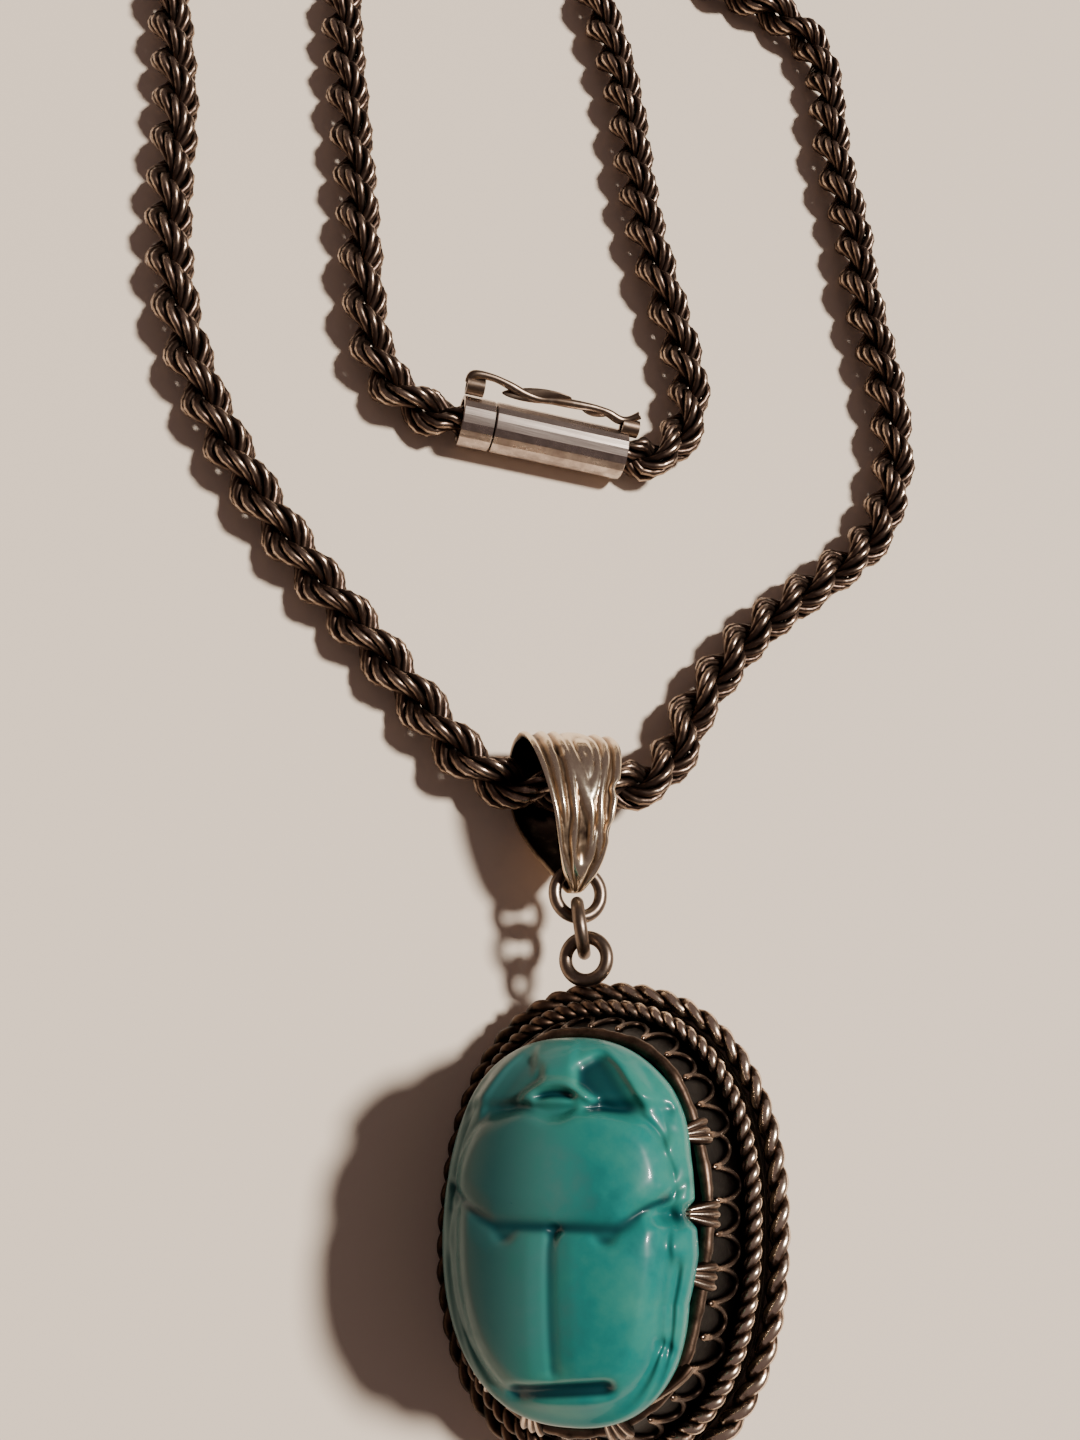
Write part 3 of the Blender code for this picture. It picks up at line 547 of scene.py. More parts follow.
back_profile = []
for k in range(BELLY_ROWS):
    angle = math.radians(10.0 + 6.0 * k)
    back_profile.append((RIM_HALF_WIDTH - BELLY * math.sin(angle), BELLY_CENTRE - BELLY * math.cos(angle)))
back_profile += [
    (CHANNEL_WALL + SHELF_FILLET, SHELF_UNDER), (SHELF_INSET, SHELF_UNDER), (SHELF_INSET, SHELF_TOP),
    (CHANNEL_WALL, SHELF_TOP), (CHANNEL_WALL, UPPER_STEP), (GALLERY_FOOT, UPPER_STEP),
]
back = oval_shell(back_profile)
mark(back, "rubbed", [0.6 if v.co.z < BLACK_ABOVE else -0.4 for v in back.data.vertices])
back = settle(back, SETTING_PLACE)
for v in back.data.vertices:
    v.co.z = max(v.co.z, 0.0)
hand_over(back, "rounded_back", back_silver, "silver_dark", "back_shell")
gallery_foot = (GALLERY_FOOT, UPPER_STEP + JOINT_GAP)
gallery_head = (BEZEL_INSET - BEZEL_WIRE * 0.35, BEZEL_RISE - BEZEL_WIRE / 2.0 - JOINT_GAP * 2.5)
seat_floor = BEZEL_RISE - SEAT_DEPTH - JOINT_GAP
gallery_profile = [(CORE_INSET, gallery_foot[1]), gallery_foot]
gallery_profile += [on_gallery(share) for share in (0.3, 0.6, 0.85, 1.0)]
gallery_profile += [(BEZEL_INSET + BEZEL_WIRE / 2.0, rise) for rise in (gallery_head[1], seat_floor)]
gallery_profile.append((CORE_INSET, seat_floor))
hand_over(settle(oval_shell(gallery_profile), SETTING_PLACE), "sloping_gallery", dark_silver,
          "silver_dark", "gallery")

# Scalloped wire on the gallery: one thin wire bent in a row of round-ended loops and soldered on.
scallop_silver = silver("scallop_silver", (0.008, 0.005, 0.004), (0.065, 0.040, 0.028), (0.38, 0.26, 0.18),
                        uneven=1.3)
SCALLOP_PITCH = 1.85 * MM
SCALLOP_WIRE = 0.34 * MM
SCALLOP_FADE = 4.0 * MM
SCALLOP_POINTS = 16           # points of each loop
SCALLOP_FINE = 8              # places on the oval for each of those points
slope = Vector((gallery_head[1] - gallery_foot[1], gallery_head[0] - gallery_foot[0])).normalized()
middle_inset = on_gallery(0.6)[0]
scallop_count = round(oval_track(middle_inset, 8)[2] / SCALLOP_PITCH)
scallop_line = []
steps = scallop_count * SCALLOP_POINTS
fine_spots, fine_outs, _ = oval_track(middle_inset, steps * SCALLOP_FINE)
stand = SCALLOP_WIRE * 0.45
for k in range(steps):
    loop = k // SCALLOP_POINTS
    t = (k % SCALLOP_POINTS) / SCALLOP_POINTS
    lean = 0.10 * math.sin(math.pi * t) * math.sin(3.7 * loop)
    slide = (loop + t + lean - 0.17 * math.sin(2.0 * math.pi * t)) * SCALLOP_POINTS * SCALLOP_FINE
    nearest = int(round(slide)) % len(fine_spots)
    here = fine_spots[nearest]
    out = fine_outs[nearest]
    depth = 0.64 + 0.10 * math.sin(2.3 * loop)
    inset, rise = on_gallery(0.95 - depth * (0.5 - 0.5 * math.cos(2.0 * math.pi * t)) ** 0.8)
    spread = middle_inset - inset + stand * slope.x
    scallop_line.append((here[0] + out[0] * spread, here[1] + out[1] * spread, rise + stand * slope.y))
scallops = wire_along(scallop_line, SCALLOP_WIRE)
heights = np.array([v.co.z for v in scallops.data.vertices])
mark(scallops, "rubbed", np.clip(0.45 + (heights - heights.mean()) / SCALLOP_FADE, 0.0, 1.0))
hand_over(settle(scallops, SETTING_PLACE), "scallop_wire", scallop_silver, "silver_dark",
          "gallery_scallops")

# Bezel wire and claws: a round wire round the stone, with leaf-shaped points bent in over it.
bezel_silver = silver("bezel_silver", (0.016, 0.010, 0.007), (0.15, 0.095, 0.065), (0.55, 0.40, 0.29),
                      uneven=1.1, rubbed=0.30)
BEZEL_POINTS = 150
CLAW_WIDTH = 1.6 * MM
CLAW_HEIGHT = 1.7 * MM
CLAW_THICKNESS = 0.42 * MM
CLAW_LEAN_IN = 1.25 * MM
CLAW_PLACES = (4.0, 27.0, 144.0, 172.0, 200.0, 232.0, 258.0, 290.0, 325.0, 351.0)
FLATTENED_CLAW = 8
bezel_spots, bezel_outs, _ = oval_track(BEZEL_INSET, BEZEL_POINTS)
row = np.arange(BEZEL_POINTS)
wobble = 0.08 * MM * np.sin(row * 2.0 * math.pi * 7.0 / BEZEL_POINTS + 0.6)
bezel_line = np.column_stack([bezel_spots + bezel_outs * wobble[:, None], BEZEL_RISE + wobble * 0.6])
hammered = 1.0 + 0.09 * np.sin(row * 0.9) + 0.07 * np.sin(row * 2.3)
bezel = wire_along(bezel_line, BEZEL_WIRE * 1.12, sides=10, radii=hammered)
hand_over(settle(bezel, SETTING_PLACE), "bezel_round_wire", bezel_silver, "silver_rope", "bezel_wire")


def modify(kind, **values):
    """Give the active piece a modifier and apply it."""
    bpy.ops.object.modifier_add(type=kind)
    change = bpy.context.object.modifiers[-1]
    for key, value in values.items():
        setattr(change, key, value)
    bpy.ops.object.modifier_apply(modifier=change.name)


for number, degrees in enumerate(CLAW_PLACES):
    x, y = superellipse(math.radians(degrees), OVAL_POWER)
    here = Vector((x * (RIM_HALF_WIDTH - BEZEL_INSET), y * (RIM_HALF_LENGTH - BEZEL_INSET), BEZEL_RISE))
    nearest = int(np.argmin(((bezel_spots - np.array(here[:2])) ** 2).sum(axis=1)))
    out = Vector((*bezel_outs[nearest], 0.0))
    claw = primitive("cube", size=1.0)
    bpy.ops.object.mode_set(mode="EDIT")
    bpy.ops.mesh.select_all(action="SELECT")
    bpy.ops.mesh.subdivide(number_cuts=8)
    bpy.ops.object.mode_set(mode="OBJECT")
    shade = []
    # three ribs run up the outer face, and the tab narrows, thins and leans in towards its tip
    for v in claw.data.vertices:
        up = v.co.z + 0.5
        ribs = math.cos(6.0 * math.pi * v.co.x)
        shade.append(0.42 + 0.42 * ribs + 0.25 * up)
        wide = CLAW_WIDTH * (1.0 - up ** 1.6 * 0.62)
        thin = CLAW_THICKNESS * (1.0 - 0.45 * up)
        crown = (0.20 + 0.19 * ribs) * MM * (1.0 - 0.4 * up) if v.co.y > 0.0 else 0.0
        v.co = (v.co.x * wide, v.co.y * thin - CLAW_LEAN_IN * up ** 1.6 + crown, up * CLAW_HEIGHT)
    mark(claw, "rubbed", shade)
    modify("SUBSURF", levels=1, render_levels=1)
    bpy.ops.object.shade_smooth()
    stand = here + out * (BEZEL_WIRE * 0.45) - Vector((0.0, 0.0, BEZEL_WIRE * 0.3))
    turn = Matrix((Vector((out.y, -out.x, 0.0)), out, Vector((0.0, 0.0, 1.0)))).transposed().to_4x4()
    if number == FLATTENED_CLAW:
        turn = turn @ Matrix.Rotation(math.radians(68.0), 4, "Y") @ Matrix.Diagonal((0.7, 1.0, 1.8, 1.0))
    settle(claw, SETTING_PLACE @ Matrix.Translation(stand) @ turn)
    hand_over(claw, f"leaf_claw_{number + 1}", rope_silver, "silver_rope", f"claw_{number + 1}")

# Scarab: a moulded beetle of glazed stoneware.  The glaze is thin and pale on the edges of the
# carving and pools dark in its lines; the base is seated in the bezel.
SCARAB_HALF_WIDTH = 7.85 * MM
SCARAB_HALF_LENGTH = 10.3 * MM
SCARAB_TURN = math.radians(4.5)
SCARAB_POWER = 2.35
GIRDLE = BEZEL_RISE + 2.2 * MM
DOME_RISE = 3.9 * MM
DOME_POWER = 2.6
# along X: where the paler tone, and the painted shade and lost gloss, of the low side begin, and where they
# are full
PALE_TONE_START = 0.3 * MM
PALE_TONE_FULL = -3.4 * MM
PALE_TONE_MOTTLE = 7.0 * MM
LOW_SHADE_AND_DULL_START = -4.5 * MM
LOW_SHADE_AND_DULL_FULL = -9.5 * MM
# at distances along the beetle, how much its high side is drawn in there
NARROWING_PLACES = (-1.0, -0.7, -0.39, -0.15, 0.07, 0.35, 0.55, 0.72, 0.88, 1.0)
NARROWING = (0.03, 0.045, 0.095, 0.055, 0.075, 0.055, 0.01, -0.015, 0.0, 0.0)
# the knees of the legs and the notch at the waist: height, place and half size across and along
LEG_FORMS = ((0.62, 0.88, 0.12, -0.11, 0.10), (0.55, 0.85, 0.12, 0.37, 0.11),
             (0.40, 0.86, 0.11, 0.18, 0.08), (-1.3, 0.97, 0.22, 0.04, 0.065))


def soft_bump(distance, width):
    t = np.minimum(np.abs(distance) / width, 1.0)
    return (1.0 - t * t) ** 2


def soft_step(value, start, end):
    t = np.clip((value - start) / (end - start), 0.0, 1.0)
    return t * t * (3.0 - 2.0 * t)


def oval_bump(across, along, wide, tall):
    """A rounded bump, from the distances to its centre and its half sizes."""
    return soft_bump(np.hypot(across / wide, along / tall), 1.0)


def scarab_carving(x, y):
    """Height of the carving in millimetres, and how far the glaze has run together in its lines.

    The low side of the beetle is worn smoother than the high one.
    """
    side = np.abs(x)
    neck_line = -0.02 + 0.5 * np.maximum(0.0, side - 0.45) ** 1.2
    behind = soft_step(neck_line - y, 0.0, 0.04)
    case = (side / 0.77) ** 2.3 + (np.abs(y) / 0.9) ** 2.3
    crown = 0.585 - 0.06 * soft_bump(x + 0.03, 0.24) - 0.02 * soft_bump(side - 0.45, 0.2)
    plate = (side / 0.83) ** 3.0 + (np.abs(y) / crown) ** 3.0
    edge = np.where(y < neck_line, case, plate)
    body = 1.0 - soft_step(y, 0.58, 0.66)
    # wing cases and neck plate, rolled off softly at their edges
    worn = 0.25 + 0.75 * soft_step(x, -0.15, 0.15)
    cut = -0.36 * soft_bump(y - neck_line, 0.045) - 0.24 * soft_bump(y - neck_line, 0.15)
    seam = behind * soft_step(-y, -0.05, 0.04) * (1.0 - soft_step(-y, 0.70, 0.78))
    cut -= seam * (0.17 * soft_bump(x + 0.02, 0.050) + 0.15 * soft_bump(x + 0.02, 0.18))
    lines = 0.75 * seam * soft_bump(x + 0.02, 0.042)
    lines = lines + 0.75 * soft_bump(y - neck_line, 0.045) * (1.0 - soft_step(side, 0.7, 0.95))
    wedge = (neck_line - y) / 0.10
    cut -= 0.28 * soft_step(0.075 * (1.0 - wedge) - side, 0.0, 0.03) * (wedge > 0.0) * (wedge < 1.0)
    smile = y - (neck_line - 0.035 - 0.025 * (1.0 - ((side - 0.37) / 0.10) ** 2))
    smile = soft_bump(smile, 0.034) * soft_bump(side - 0.37, 0.12)
    cut -= 0.36 * smile
    lines = lines + 0.7 * smile
    cut -= body * (0.62 * soft_step(edge, 0.74, 1.20) + 0.22 * worn * soft_bump(edge - 1.18, 0.13))
    cut += body * 0.06 * soft_bump(edge - 0.97, 0.10)
    tail = -y + 0.08 * x
    pocket = soft_step(tail, 0.750, 0.785) * (1.0 - soft_step(tail, 0.805, 0.855))
    pocket = pocket * (1.0 - soft_step(side + 0.02 * x, 0.30, 0.44))
    cut -= 0.70 * pocket
    lines = lines + 1.1 * pocket
    # legs on the band outside the wing cases, with their joints and the notch at the waist
    band = soft_step(edge, 1.08, 1.25)
    cut -= worn * body * band * 0.45 * soft_bump(edge - 1.42, 0.11) * soft_step(-y, 0.10, 0.25)
    cut -= worn * band * 0.40 * soft_bump(y + 0.60 + 0.35 * (side - 0.8), 0.05)
    for height, across, wide, along, tall in LEG_FORMS:
        cut += worn * height * oval_bump(side - across, y - along, wide, tall)
    # front legs: ribs along the rim beside the head
    head_edge = np.interp(y, [0.50, 0.60, 0.646, 0.825, 0.98], [0.70, 0.66, 0.63, 0.467, 0.27])
    front = soft_step(y, 0.50, 0.60)
    out = side - head_edge
    ribs = 0.5 + 0.5 * np.cos((y - 0.25 * side) * 2.0 * math.pi / 0.085)
    cut += front * (0.20 * soft_bump(out, 0.08) - 0.42 * soft_bump(out - 0.13, 0.07))
    cut += front * soft_step(out, 0.10, 0.17) * (0.30 * ribs - 0.26)
    # head: brow arch over the eye line, snout plate in front, a deep hollow at the right cheek
    # and a worn one at the left
    inner = front * (1.0 - soft_step(out, -0.06, 0.0))
    cx = x + 0.02
    arch_side = np.interp(y, [0.54, 0.627, 0.707, 0.80], [0.08, 0.265, 0.11, 0.09])
    cheek = soft_step(side - arch_side, 0.0, 0.07) * soft_step(0.80 + 0.45 * side - y, 0.0, 0.08)
    cheek = cheek * soft_step(y, 0.535, 0.59) * (1.0 - soft_step(out, -0.20, 0.0))
    cheek = inner * np.where(x > 0.0, 0.62, 0.32) * cheek
    bars = []
    for place, bow, width, start, end in ((0.728, 1.3, 0.036, 0.24, 0.31), (0.664, 0.9, 0.030, 0.10, 0.19),
                                          (0.615, -0.2, 0.034, 0.16, 0.25)):
        bar = soft_bump(y - place + bow * cx * cx, width) * (1.0 - soft_step(np.abs(cx), start, end))
        bars.append(inner * bar)
    snout = (1.0 - soft_step(np.abs(x + 0.06), 0.13, 0.19)) * soft_step(y - 0.1 * x, 0.765, 0.81)
    cut += 0.42 * bars[0] - 0.70 * bars[1] + 0.30 * bars[2] + inner * (0.20 * snout - 0.08) - cheek
    return cut, lines + cheek + bars[1]


def soften(grid, rounds):
    """Average each value with its neighbours, again and again."""
    for _ in range(rounds):
        padded = np.pad(grid, 1, mode="edge")
        grid = (padded[1:-1, 1:-1] * 2.0 + padded[:-2, 1:-1] + padded[2:, 1:-1]
                + padded[1:-1, :-2] + padded[1:-1, 2:]) / 6.0
    return grid


def carve_scarab():
    """A grid bent over the beetle's oval dome and carved, its rim extruded down to the base."""
    item = primitive("grid", x_subdivisions=190, y_subdivisions=240, size=2.0)
    flat = np.array([v.co[:] for v in item.data.vertices])
    u = flat[:, 0] * np.sqrt(np.maximum(0.0, 1.0 - flat[:, 1] ** 2 / 2.0))
    v = flat[:, 1] * np.sqrt(np.maximum(0.0, 1.0 - flat[:, 0] ** 2 / 2.0))
    reach = np.minimum(np.hypot(u, v), 1.0)
    x, y = superellipse(np.arctan2(v, u), SCARAB_POWER)
    x = x * reach
    y = y * reach
    dome = DOME_RISE * np.maximum(0.0, 1.0 - reach ** DOME_POWER) ** (1.0 / 1.9)
    rows = round(len(x) / len(np.unique(flat[:, 0])))
    carving, lines = scarab_carving(x, y)
    carving = soften(carving.reshape(rows, -1), 10)
    hollow = soften(carving, 40) - carving
    carving = carving.ravel()
    lines = soften(lines.reshape(rows, -1), 8).ravel()
    fade = np.minimum(1.0, (1.0 - reach) * 9.0)
    high_side = np.interp(y, NARROWING_PLACES, NARROWING) + 0.07 * soft_bump(y - 0.05, 0.08)
    narrow = np.where(x > 0.0, high_side, 0.02 * soft_bump(y - 0.45, 0.55))
    x = x * (1.0 - narrow * soft_step(np.abs(x), 0.3, 0.9))
    rise = np.maximum(dome + carving * MM * fade, 0.02 * MM * reach)
    spots = np.column_stack([x * SCARAB_HALF_WIDTH, y * SCARAB_HALF_LENGTH, GIRDLE + rise])
    item.data.vertices.foreach_set("co", spots.ravel())
    mark(item, "pooled", np.clip(hollow.ravel() * 0.9 - carving * 0.25 + lines, -0.4, 1.0))
    bpy.ops.object.mode_set(mode="EDIT")
    bpy.ops.mesh.select_all(action="DESELECT")
    shape = bmesh.from_edit_mesh(item.data)
    for line in shape.edges:
        if line.is_boundary:
            line.select = True
    shape.select_flush(True)
    bmesh.update_edit_mesh(item.data)
    # the girdle, drawn in under the rim, and the straight base that sits in the bezel
    for drop, pinch in ((0.35, 1.0), (0.35, 0.985), (0.35, 0.975), (1.15, 0.935), (2.5, 1.0)):
        bpy.ops.mesh.extrude_region_move(TRANSFORM_OT_translate={"value": (0.0, 0.0, -drop * MM)})
        bpy.ops.transform.resize(value=(pinch, pinch, 1.0), center_override=(0.0, 0.0, 0.0))
    bpy.ops.mesh.edge_face_add()
    face_outwards()
    bpy.ops.object.shade_smooth()
    return settle(item, SETTING_PLACE @ Matrix.Rotation(SCARAB_TURN, 4, "Z"))


def glaze_material():
    """Turquoise glaze: mottled, darker where it pools, paler on edges, with a glassy coat and painted shade
    on its low side.
    """
    look, tree, shader = new_look("scarab_glaze")
    for socket, value in (("Specular IOR Level", 0.22), ("Coat Roughness", 0.06), ("Coat IOR", 1.5)):
        shader.inputs[socket].default_value = value
    place = add_node(tree, "ShaderNodeTexCoord")
    wide = add_node(tree, "ShaderNodeTexNoise", Scale=190.0, Detail=3.0, Roughness=0.55)
    small = add_node(tree, "ShaderNodeTexNoise", Scale=1100.0, Detail=4.0, Roughness=0.6)
    pooled = add_node(tree, "ShaderNodeAttribute", attribute_name="pooled")
    blend = math_node(tree, "MULTIPLY_ADD", 0.35)
    mottle = add_node(tree, "ShaderNodeValToRGB")
    stops = mottle.color_ramp.elements
    stops[0].position = 0.36
    stops[1].position = 0.88
    stops.new(0.62)
    for stop, color in zip(stops, ((0.004, 0.112, 0.108), (0.012, 0.188, 0.163), (0.038, 0.235, 0.180))):
        stop.color = (*color, 1.0)
    deep = soft_range(tree, 0.10, 0.95)
    into_dark = add_node(tree, "ShaderNodeMix", data_type="RGBA", B=(0.002, 0.038, 0.044, 1.0))
    thin = soft_range(tree, 0.0, -0.45)
    into_pale = add_node(tree, "ShaderNodeMix", data_type="RGBA", B=(0.050, 0.215, 0.175, 1.0))
    # the low side has lost its gloss, and its teal turns paler and greyer from the middle outwards; the
    # dark grey-blue at the very edge is painted shade, where the dome turns away from the light
    split = add_node(tree, "ShaderNodeSeparateXYZ")
    cloud = math_node(tree, "MULTIPLY_ADD", PALE_TONE_MOTTLE)
    pale_tone = soft_range(tree, PALE_TONE_START, PALE_TONE_FULL, 0.66)
    into_pale_tone = add_node(tree, "ShaderNodeMix", data_type="RGBA", B=(0.105, 0.245, 0.205, 1.0))
    low_shade_and_dull = soft_range(tree, LOW_SHADE_AND_DULL_START, LOW_SHADE_AND_DULL_FULL, 0.8)
    into_painted_shade = add_node(tree, "ShaderNodeMix", data_type="RGBA", B=(0.005, 0.045, 0.050, 1.0))
    shine = add_node(tree, "ShaderNodeMapRange", From_Max=0.5, To_Min=0.30, To_Max=0.0)
    gloss = add_node(tree, "ShaderNodeMapRange", To_Min=0.20, To_Max=0.50)
    ripple = add_node(tree, "ShaderNodeBump", Strength=0.25, Distance=0.1 * MM)
    link_nodes(tree, (place, "Object", wide, "Vector"), (place, "Object", small, "Vector"),
               (place, "Object", split, "Vector"), (small, "Fac", blend, 0), (wide, "Fac", blend, 2),
               (blend, 0, mottle, "Fac"), (pooled, "Fac", deep, "Value"), (pooled, "Fac", thin, "Value"),
               (blend, 0, cloud, 0), (split, "X", cloud, 2), (cloud, 0, pale_tone, "Value"),
               (split, "X", low_shade_and_dull, "Value"), (low_shade_and_dull, 0, shine, "Value"), (small, "Fac", gloss, "Value"),
               (wide, "Fac", ripple, "Height"), (gloss, 0, shader, "Roughness"),
               (shine, 0, shader, "Coat Weight"), (ripple, "Normal", shader, "Normal"))
    # each blend is laid over the one before it
    below = (mottle, "Color")
    for mask, layer in ((thin, into_pale), (pale_tone, into_pale_tone), (low_shade_and_dull, into_painted_shade), (deep, into_dark)):
        link_nodes(tree, (*below, layer, "A"), (mask, 0, layer, "Factor"))
        below = (layer, "Result")
    link_nodes(tree, (*below, shader, "Base Color"))
    return look


hand_over(carve_scarab(), "carved_scarab", glaze_material(), "glaze", "scarab")

# Hanging loop, link and bail ring: three rings of round silver wire, the loop soldered to the
# setting's edge and the others closed through each other.
ring_silver = silver("ring_silver", (0.030, 0.019, 0.013), (0.20, 0.145, 0.108), (0.70, 0.58, 0.47),
                     grain=3500.0, uneven=1.0, rubbed=0.5)
RING_WIRE = 0.8 * MM
WIRE_SEEN = 0.95 * MM
BAIL_RING_SEEN = 4.4 * MM
LOOP_ACROSS = 3.4 * MM
LOOP_SEEN = 3.95 * MM
LINK_LEAN = math.radians(-18.8)
LINK_ACROSS = 4.5 * MM
BAIL_TURN = math.radians(-6.0)
BAIL_RING_ACROSS = 3.75 * MM
BAIL_RING_SHIFT = Vector((0.25, 0.15, 0.0)) * MM
RING_OVERLAP = RING_WIRE * 2.2     # how far each ring reaches into the next
LOOP_PLACE = Vector((-1.532, 6.868, 0.0)) * MM
HANGER_PLACE = Matrix.Translation(LOOP_PLACE) @ Matrix.Rotation(math.radians(13.0), 4, "Z")
loop_height = sum(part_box("hanging_loop")[k][2] for k in range(2)) / 2.0
ring_height = sum(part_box("bail_ring")[k][2] for k in range(2)) / 2.0
link_reach = (LOOP_ACROSS + LINK_ACROSS) / 2.0 - RING_OVERLAP
ring_reach = link_reach + (LINK_ACROSS + BAIL_RING_ACROSS) / 2.0 - RING_OVERLAP
loop_place = Matrix.Translation(LOOP_PLACE + Vector((0.0, 0.0, loop_height)))
# name, width across, place, turn about the axis across the hanger, where it hangs, and its node
WIRE_RINGS = (
    ("soldered_loop", LOOP_SEEN, (0.0, 0.0, 0.0), 0.0,
     loop_place @ Matrix.Rotation(SETTING_LEAN, 4, "Y"), "hanging_loop"),
    ("upright_link", LINK_ACROSS, (0.0, link_reach, (loop_height + ring_height) / 2.0),
     math.pi / 2.0 + LINK_LEAN, HANGER_PLACE, "middle_link"),
    ("bail_wire_ring", BAIL_RING_SEEN, BAIL_RING_SHIFT + Vector((0.0, ring_reach, ring_height)), 0.0,
     HANGER_PLACE, "bail_ring"),
)
for name, across, place, turn, hung, node in WIRE_RINGS:
    ring = primitive("torus", major_segments=56, minor_segments=16, location=place,
                     rotation=(0.0, turn, 0.0), major_radius=(across - WIRE_SEEN) / 2.0,
                     minor_radius=WIRE_SEEN / 2.0)
    bpy.ops.object.shade_smooth()
    hand_over(settle(ring, hung), name, ring_silver, "silver_rope", node)

# Bail: a strip of silver embossed with flowing leaf ridges, cut to points and folded over the
# chain; the points are soldered together inside the ring.
bail_silver = silver("bail_silver", (0.018, 0.010, 0.007), (0.46, 0.32, 0.205), (1.0, 0.85, 0.63),
                     grain=3500.0, uneven=0.5)
BAIL_SHEET = 0.5 * MM
BAIL_RIDGE = 0.34 * MM
BAIL_PIT = 0.18 * MM
BAIL_CROWN = 0.16 * MM        # how far the strip's edges bend back at the half width below
BAIL_HALF_WIDTH = 4.0 * MM
RELIEF_HALF_WIDTH = 1.6 * MM  # where the strip's half width is less than this, its relief fades out
BAIL_FOLD_ROW = 8
# millimetres out from the ring's centre, height as a share of the ring's, and width in millimetres
BAIL_PROFILE = (
    (0.3, 1.01, 0.6), (0.36, 1.09, 1.0), (0.8, 1.18, 1.7), (1.6, 1.27, 2.7), (3.2, 1.41, 3.6),
    (5.6, 1.53, 4.6), (8.2, 1.5, 5.8), (10.4, 1.33, 6.8), (11.9, 1.0, 7.1), (12.55, 0.62, 7.1),
    (11.95, 0.29, 7.1), (10.2, 0.085, 7.0), (7.7, 0.059, 6.6), (5.7, 0.15, 5.6), (3.7, 0.42, 4.2),
    (1.9, 0.74, 2.7), (0.8, 0.87, 1.6), (0.36, 0.92, 1.0), (0.3, 0.99, 0.6),
)
# ridges of the front leaf: across from -1 to 1, and along from the fold at 0 to the point at 1
BAIL_RIDGES = (
    ((-0.93, -0.10), (-0.93, 0.25), (-0.92, 0.60), (-0.90, 0.80), (-0.60, 0.95)),
    ((0.93, -0.10), (0.93, 0.25), (0.92, 0.60), (0.90, 0.80), (0.60, 0.95)),
    ((-0.55, -0.10), (-0.60, 0.12), (-0.62, 0.30), (-0.66, 0.48)),
    ((-0.28, -0.10), (-0.30, 0.10), (-0.26, 0.26), (0.02, 0.42), (0.22, 0.52), (0.28, 0.68)),
    ((-0.26, 0.24), (-0.30, 0.44), (-0.30, 0.62), (-0.42, 0.74)),
    ((-0.16, 0.10), (-0.06, 0.02), (0.14, -0.02), (0.34, 0.06), (0.42, 0.20), (0.38, 0.36), (0.18, 0.46)),
    ((-0.16, 0.10), (-0.12, 0.26), (0.02, 0.38)),
    ((0.06, 0.16), (0.20, 0.14), (0.26, 0.22), (0.18, 0.30), (0.08, 0.26)),
    ((0.62, -0.08), (0.66, 0.14), (0.60, 0.30), (0.50, 0.46), (0.56, 0.60), (0.70, 0.70)),
    ((-0.40, 0.80), (-0.10, 0.86), (0.20, 0.82), (0.45, 0.72)),
    ((0.0, 0.90), (0.0, 1.0)),
)


def bent_distance(a, b, points):
    """Distance of each place on the strip from a smooth line through the points."""
    line = smooth_line([Vector((p[0], p[1], 0.0)) for p in points], 6)
    best = np.full(a.shape, 9.0)
    for p, q in zip(line[:-1], line[1:]):
        span = max((q - p).length_squared, 1e-12)
        t = np.clip(((a - p.x) * (q.x - p.x) + (b - p.y) * (q.y - p.y)) / span, 0.0, 1.0)
        best = np.minimum(best, np.hypot(a - p.x - t * (q.x - p.x), b - p.y - t * (q.y - p.y)))
    return best


